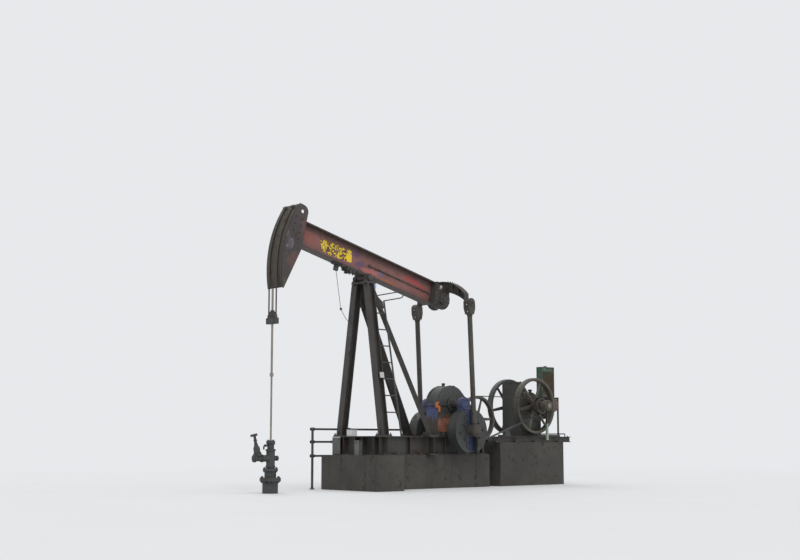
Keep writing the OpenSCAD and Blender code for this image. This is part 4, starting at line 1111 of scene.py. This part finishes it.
def reducer_fittings():
    """Both sides of the reducer, its inspection cover and filler, and the orange guard."""
    shape = Shape()
    for side in SIDES:
        reducer_side(shape, side)
    slope = (0.60, 0.0, 0.80)
    lean = aimed((2.43, 0.0, 1.955), slope)
    cover_top = 0.022
    shape.box((-0.12, -0.12, 0.002), (0.10, 0.12, cover_top), lean)
    for x, y in itertools.product((-0.10, 0.08), (-0.10, 0.0, 0.10)):
        shape.bolt(lean @ Vector((x, y, cover_top)), slope, 0.009, 0.004)
    filler = ((0.030, -0.01), (0.030, 0.03), (0.040, 0.034), (0.040, 0.055), (0.018, 0.066), (0.004, 0.068))
    shape.turned(filler, (2.20, 0.05, 2.03), UP, 20)
    piece("reducer_fittings", shape, "frame", "reducer_iron")

    shape = Shape()
    shape.box((1.785, -0.215, 1.585), (1.840, -0.150, 1.70))
    shape.box((1.800, -0.235, 1.50), (1.845, -0.215, 1.62))
    piece("reducer_orange_guard", shape, "frame", "reducer_iron", look="orange", bevel=0.004)


def brake():
    """The brake drum's hub and bolts, and the band round it with its anchor."""
    drum = (INPUT.x, DRUM_Y, INPUT.z)
    shape = Shape()
    shape.hoop(((0.036, -0.030), (0.06, -0.030), (0.06, 0.046), (0.036, 0.046)), drum, TO_FAR, 32)
    shape.bolts_round((INPUT.x, DRUM_Y + 0.04, INPUT.z), TO_FAR, 0.11, 6, 0.012)
    piece("brake_drum_bolts", shape, "input_drive", "shaft_steel")
    shape = Shape()
    shape.hoop(collar(0.182, 0.190, 0.028), drum, TO_FAR, 64)
    shape.box((2.945, DRUM_Y - 0.025, 1.28), (2.975, DRUM_Y + 0.025, 1.46))
    shape.tube(((2.95, DRUM_Y, 1.06), (2.955, DRUM_Y, 1.30)), 0.012, 10)
    piece("brake_band", shape, "frame", "bar_steel")


def on_cylinder(x):
    """A point on the cylinder's axis."""
    return Vector((x, CYLINDER_Y, CYLINDER_Z))


def cylinder_fittings(shape):
    """Flanges, studs, cooling rings, rocker box and push rods of the cylinder."""
    flange = ((0.185, 0.0), (0.235, 0.0), (0.235, 0.030), (0.195, 0.040), (0.185, 0.040))
    base = 5.0402
    shape.hoop(flange, on_cylinder(base), TO_ENGINE, 56)
    shape.bolts_round(on_cylinder(base + 0.030), TO_ENGINE, 0.215, 10, 0.014, 0.3)
    for x in (5.16, 5.27, 5.38):
        shape.hoop(collar(0.1895, 0.200, 0.008, 0.002), on_cylinder(x), TO_ENGINE, 56)
    shape.hoop(collar(0.158, 0.205, 0.015), on_cylinder(5.477), TO_ENGINE, 56)
    shape.bolts_round(on_cylinder(CYLINDER_END), TO_ENGINE, 0.125, 8, 0.015, 0.2)
    shape.box((5.475, 0.11, 1.765), (5.535, 0.32, 1.845))
    for y in (0.09, 0.34):
        shape.tube(((5.50, y, 1.80), (5.10, y, 1.82), (4.95, y, 1.84)), 0.009, 8)


def crankcase_fittings(shape):
    """Side covers, doors and breather of the crankcase, and the hopper's rim and lid."""
    cover = ((0.049, 0.0), (0.135, 0.0), (0.128, 0.020), (0.070, 0.026), (0.049, 0.026))
    for side, y in ((-1.0, -0.06), (1.0, 0.49)):
        shape.hoop(cover, (ENGINE.x, y, ENGINE.z), across(side), 40)
        shape.bolts_round((ENGINE.x, y + side * 0.016, ENGINE.z), across(side), 0.112, 8, 0.011)
        shape.box((4.52, y, 1.14), (4.90, y + side * 0.014, 1.36))
        shape.bolts((4.54, 4.71, 4.88), y + side * 0.014, (1.16, 1.34), across(side), 0.010, 0.004)
    breather = ((0.028, 0.0), (0.028, 0.05), (0.045, 0.055), (0.045, 0.085), (0.020, 0.095), (0.004, 0.096))
    shape.turned(breather, (4.82, 0.05, 1.945), UP, 20)
    rim_top, lid_top = 2.190, 2.202
    shape.box((4.400, 0.120, 2.165), (4.700, 0.500, rim_top))
    shape.box((4.430, 0.150, rim_top), (4.670, 0.470, lid_top))
    shape.bolts((4.45, 4.65), (0.17, 0.31, 0.45), lid_top, UP, 0.010, 0.004)


def engine_fittings():
    """Fittings of the cylinder and crankcase, and the pipes from the tank to the jacket."""
    shape = Shape()
    cylinder_fittings(shape)
    crankcase_fittings(shape)
    for x, y in ((5.33, 0.12), (5.50, 0.16)):
        shape.tube(((x, y, 1.90), (x, y, 1.83), (x - 0.01, CYLINDER_Y - 0.03, 1.79)), 0.022, 14)
        shape.hoop(collar(0.0225, 0.030, 0.014), (x, y, 1.86), UP, 18)
    piece("engine_fittings", shape, "frame", "engine_iron")


def tank_fins():
    """Fins on both faces of the tank, its bands and corner strips, and the filler cap."""
    shape = Shape()
    low, high = TANK_LOW, TANK_HIGH
    rows, margin, fin_half, fin_depth = 22, 0.03, 0.0025, 0.010
    for i in range(rows + 1):
        x = low.x + margin + i * (high.x - low.x - 2 * margin) / rows
        for y, out in ((low.y, -fin_depth), (high.y, fin_depth)):
            shape.box((x - fin_half, y, low.z + 0.09), (x + fin_half, y + out, high.z - 0.10))
    bands = (
        (low.z, 0.006, 0.014, 0.022), (high.z - 0.022, 0.006, 0.014, 0.022),
        (low.z + 0.085, 0.004, 0.011, 0.014), (high.z - 0.105, 0.004, 0.011, 0.014),
    )
    for z, out_x, out_y, height in bands:
        shape.box((low.x - out_x, low.y - out_y, z), (high.x + out_x, high.y + out_y, z + height))
    for x, y in itertools.product((low.x, high.x), (low.y, high.y)):
        shape.box((x - 0.010, y - 0.012, low.z), (x + 0.010, y + 0.012, high.z))
    cap = ((0.030, -0.002), (0.030, 0.010), (0.036, 0.012), (0.036, 0.022), (0.010, 0.026))
    shape.turned(cap, (5.43, 0.14, high.z), UP, 20)
    piece("tank_fins", shape, "frame", "tank_paint")


def skid_fittings():
    """The light post by the pulley, the pipe rail at the skid's end, bolts and a stand plate."""
    shape = Shape()
    shape.box((4.927, -0.334, 0.946), (4.973, -0.2895, 1.300))
    piece("light_post", shape, "frame", "base_steel", look="pale_green", bevel=0.003)
    shape = Shape()
    shape.tube(((5.60, -0.255, BASE_TOP), (5.60, -0.255, 1.065), (5.62, -0.235, 1.080), (5.62, 0.70, 1.080),
                (5.60, 0.725, 1.065), (5.60, 0.725, BASE_TOP)), 0.012, 10)
    shape.bolts((3.30, 4.10, 5.10, 5.70), (-0.245, 0.725), BASE_TOP, UP, 0.014, 0.010)
    stand = ((3.62, BASE_TOP), (3.90, BASE_TOP), (3.86, 1.03), (3.77, 1.20), (3.74, 1.20), (3.65, 1.03))
    shape.plate(stand, -0.270, -0.262)
    piece("skid_fittings", shape, "frame", "bar_steel")


def magneto_cover():
    """The magneto's band and its domed cover with screws."""
    shape = Shape()
    dome = ((0.150, 0.0), (0.138, 0.020), (0.06, 0.030), (0.05, 0.045), (0.004, 0.048))
    shape.hoop(collar(0.152, 0.158, 0.010), (MAGNETO_X, -0.06, MAGNETO_Z), TO_FAR, 48)
    shape.turned(dome, (MAGNETO_X, -0.09, MAGNETO_Z), TO_NEAR, 40)
    shape.bolts_round((MAGNETO_X, -0.112, MAGNETO_Z), TO_NEAR, 0.10, 6, 0.009)
    piece("magneto_cover", shape, "frame", "engine_iron", "magneto_brown")


def clutch_bolts():
    """Bolts on the clutch's face, and the ring round it."""
    shape = Shape()
    shape.bolts_round((ENGINE.x, -0.59, ENGINE.z), TO_NEAR, 0.088, 6, 0.012)
    shape.hoop(collar(0.109, 0.118, 0.020, 0.004), (ENGINE.x, -0.515, ENGINE.z), TO_FAR, 40)
    piece("clutch_bolts", shape, "engine_drive", "wheel_iron", "flywheel_iron")


def at_well(z, x=0.0):
    """A point over the well's centre, or beside it along X."""
    return Vector((WELL_X + x, 0.0, z))


def valve(shape):
    """Rings of the wing valve's body, its bonnet and stem, leaning towards the well's outside."""
    for x in (-0.19, -0.35):
        shape.hoop(collar(0.0525, 0.070, 0.014, 0.002), at_well(VALVE_Z, x), TO_ENGINE, 28)
    tilt = math.radians(12.0)
    lean = Vector((-math.sin(tilt), 0.0, math.cos(tilt)))
    foot = at_well(VALVE_Z, -0.27)
    bonnet = (
        (0.050, 0.03), (0.074, 0.045), (0.074, 0.085), (0.060, 0.095), (0.058, 0.19), (0.048, 0.21),
        (0.034, 0.24), (0.034, 0.27), (0.0245, 0.28),
    )
    shape.turned(bonnet, foot, lean, 28)
    shape.bolts_round(foot + lean * 0.085, lean, 0.064, 6, 0.008)
    shape.hoop(((0.0245, 0.30), (0.031, 0.30), (0.031, 0.335), (0.0245, 0.335)), foot, lean, 20)


def well_fittings():
    """Studs of the flanges, rings, gland, valve, side plug and bleeder of the wellhead."""
    shape = Shape()
    for height, facing, radius, count, size in (
        (0.275, UP, 0.160, 8, 0.019), (0.215, DOWN, 0.160, 8, 0.019), (0.440, UP, 0.118, 8, 0.013),
        (0.395, DOWN, 0.118, 8, 0.013), (0.930, UP, 0.062, 4, 0.012), (0.880, DOWN, 0.070, 4, 0.010),
    ):
        shape.bolts_round(at_well(height), facing, radius, count, size, 0.39)
    for height in (0.765, 0.47):
        shape.hoop(collar(0.0785, 0.090, 0.02, 0.004), at_well(height), UP, 36)
    shape.hoop(((0.019, 0.0), (0.036, 0.0), (0.034, 0.006), (0.019, 0.006)), at_well(0.930), UP, 28)
    valve(shape)
    plug = ((0.042, 0.060), (0.042, 0.105), (0.052, 0.110), (0.052, 0.150), (0.024, 0.160))
    shape.turned(plug, at_well(VALVE_Z), TO_ENGINE, 6)
    bleeder_z = 0.845
    bleeder = ((-0.055, bleeder_z), (-0.13, bleeder_z), (-0.15, 0.830), (-0.15, 0.775))
    shape.tube([at_well(z, x) for x, z in bleeder], 0.014)
    union = ((0.022, 0.0), (0.026, 0.008), (0.026, 0.030), (0.022, 0.038))
    shape.turned(union, at_well(bleeder_z, -0.10), TO_WELL, 6)
    piece("well_fittings", shape, "frame", "well_steel")


def carrier_bolts():
    """Bolts of the carrier bar and the rod clamp, the wirelines' sockets and the rod's collar."""
    shape = Shape()
    for way in SIDES:
        shape.bolts(WELL_X + way * 0.045, (-0.115, 0.115), (3.055, 3.115), along(way), 0.010, 0.006)
        shape.bolts(WELL_X + way * 0.048, (-0.034, 0.034), (3.172, 3.218), along(way), 0.010, 0.008)
    socket = ((0.0145, 0.0), (0.026, 0.0), (0.026, 0.045), (0.020, 0.060), (0.0145, 0.060))
    for side in SIDES:
        shape.turned(socket, (WELL_X, side * WIRE_Y, CARRIER_TOP), UP, 20)
    shape.hoop(((0.0205, 0.0), (0.040, 0.0), (0.040, 0.026), (0.0205, 0.030)), at_well(3.25), UP, 28)
    piece("carrier_bolts", shape, "rod_string", "well_steel")


def seen_rays(n):
    """1 for rays that see the backdrop: from the camera, or by way of gloss or glass."""
    camera_ray = n.node("LightPath", "Is Camera Ray")
    gloss = n.math("MAXIMUM", camera_ray, n.node("LightPath", "Is Glossy Ray"))
    return n.math("MAXIMUM", gloss, n.node("LightPath", "Is Transmission Ray"))


def sky():
    """The pale backdrop, which lights the scene less than it shows."""
    world = bpy.data.worlds.new("sky")
    bpy.context.scene.world = world
    world.use_nodes = True
    n = Tree(world.node_tree)
    light = n.node("Background", 0, {"Color": SKY_COLOUR, "Strength": SKY_STRENGTH})
    back = n.node("Background", 0, {"Color": BACKDROP_COLOUR, "Strength": 1.0})
    both = n.node("MixShader", 0, {0: seen_rays(n), 1: light, 2: back})
    n.feed(n.tree.nodes.new("ShaderNodeOutputWorld").inputs["Surface"], both)


def ground():
    """The floor, which takes shadows near the object and meets the backdrop's colour further out."""
    data = bpy.data.meshes.new("floor")
    half = FLOOR_SIZE / 2
    corners = [(-half, -half, 0.0), (half, -half, 0.0), (half, half, 0.0), (-half, half, 0.0)]
    data.from_pydata(corners, [], [(0, 1, 2, 3)])
    floor = bpy.data.objects.new("floor", data)
    bpy.context.collection.objects.link(floor)
    n = Nodes("floor")
    clouds = n.ramp(n.noise(0.5, 3.0), 0.3, 0.7)
    n.feed(n.shader.inputs["Base Color"], n.mix(clouds, FLOOR_COLOUR, dimmer(FLOOR_COLOUR, 0.985)))
    n.feed(n.shader.inputs["Roughness"], 0.9)
    far = n.ramp(n.vector("DISTANCE", n.place, FLOOR_CENTRE, "Value"), *FLOOR_FADE)
    glow = n.node("Emission", 0, {"Color": BACKDROP_COLOUR})
    shaders = {0: n.times(far, seen_rays(n)), 1: n.shader.outputs["BSDF"], 2: glow}
    n.feed(n.surface, n.node("MixShader", 0, shaders))
    data.materials.append(n.material)


def suns():
    """The soft suns."""
    for name, power, soft, source, colour in SUNS:
        data = bpy.data.lights.new(name, "SUN")
        data.energy = power
        data.angle = math.radians(soft)
        data.color = colour
        lamp = bpy.data.objects.new(name, data)
        lamp.rotation_euler = Vector(source).to_track_quat("Z", "Y").to_euler()
        bpy.context.collection.objects.link(lamp)


def finish_nodes():
    """Gives each CAD node its finish, by the material slot that the record names."""
    slots = {part["node"]: part["material_slot"] for part in frame["record"]["subparts"]}
    for name, node in frame["nodes"].items():
        node.data.materials.clear()
        node.data.materials.append(finishes[NODE_FINISH.get(name, slots[name])])


camera()
bpy.context.scene.view_settings.view_transform = "Standard"
finishes = {name: finish(name, *values) for name, values in FINISHES.items()}
sky()
ground()
suns()
finish_nodes()

# The drive
flywheels()
sheave()
pulley()
belts()

# The beam, its head and its rope
wirelines()
head_bolts()
head_welds()
beam_bolts()
tail_fittings()
grease_fittings()
lug_cord()

# Post, ladder, base and guard
post_bolts()
post_plates()
rung_welds()
ladder_hoop()
base_stiffeners()
anchor_bolts()
box_lids()
guard_sleeves()

# The linkage, reducer, engine and well
equalizer_steel()
equalizer_bolts()
pitman_fittings()
crank_ribs()
weight_bolts()
reducer_fittings()
brake()
engine_fittings()
tank_fins()
skid_fittings()
magneto_cover()
clutch_bolts()
well_fittings()
carrier_bolts()
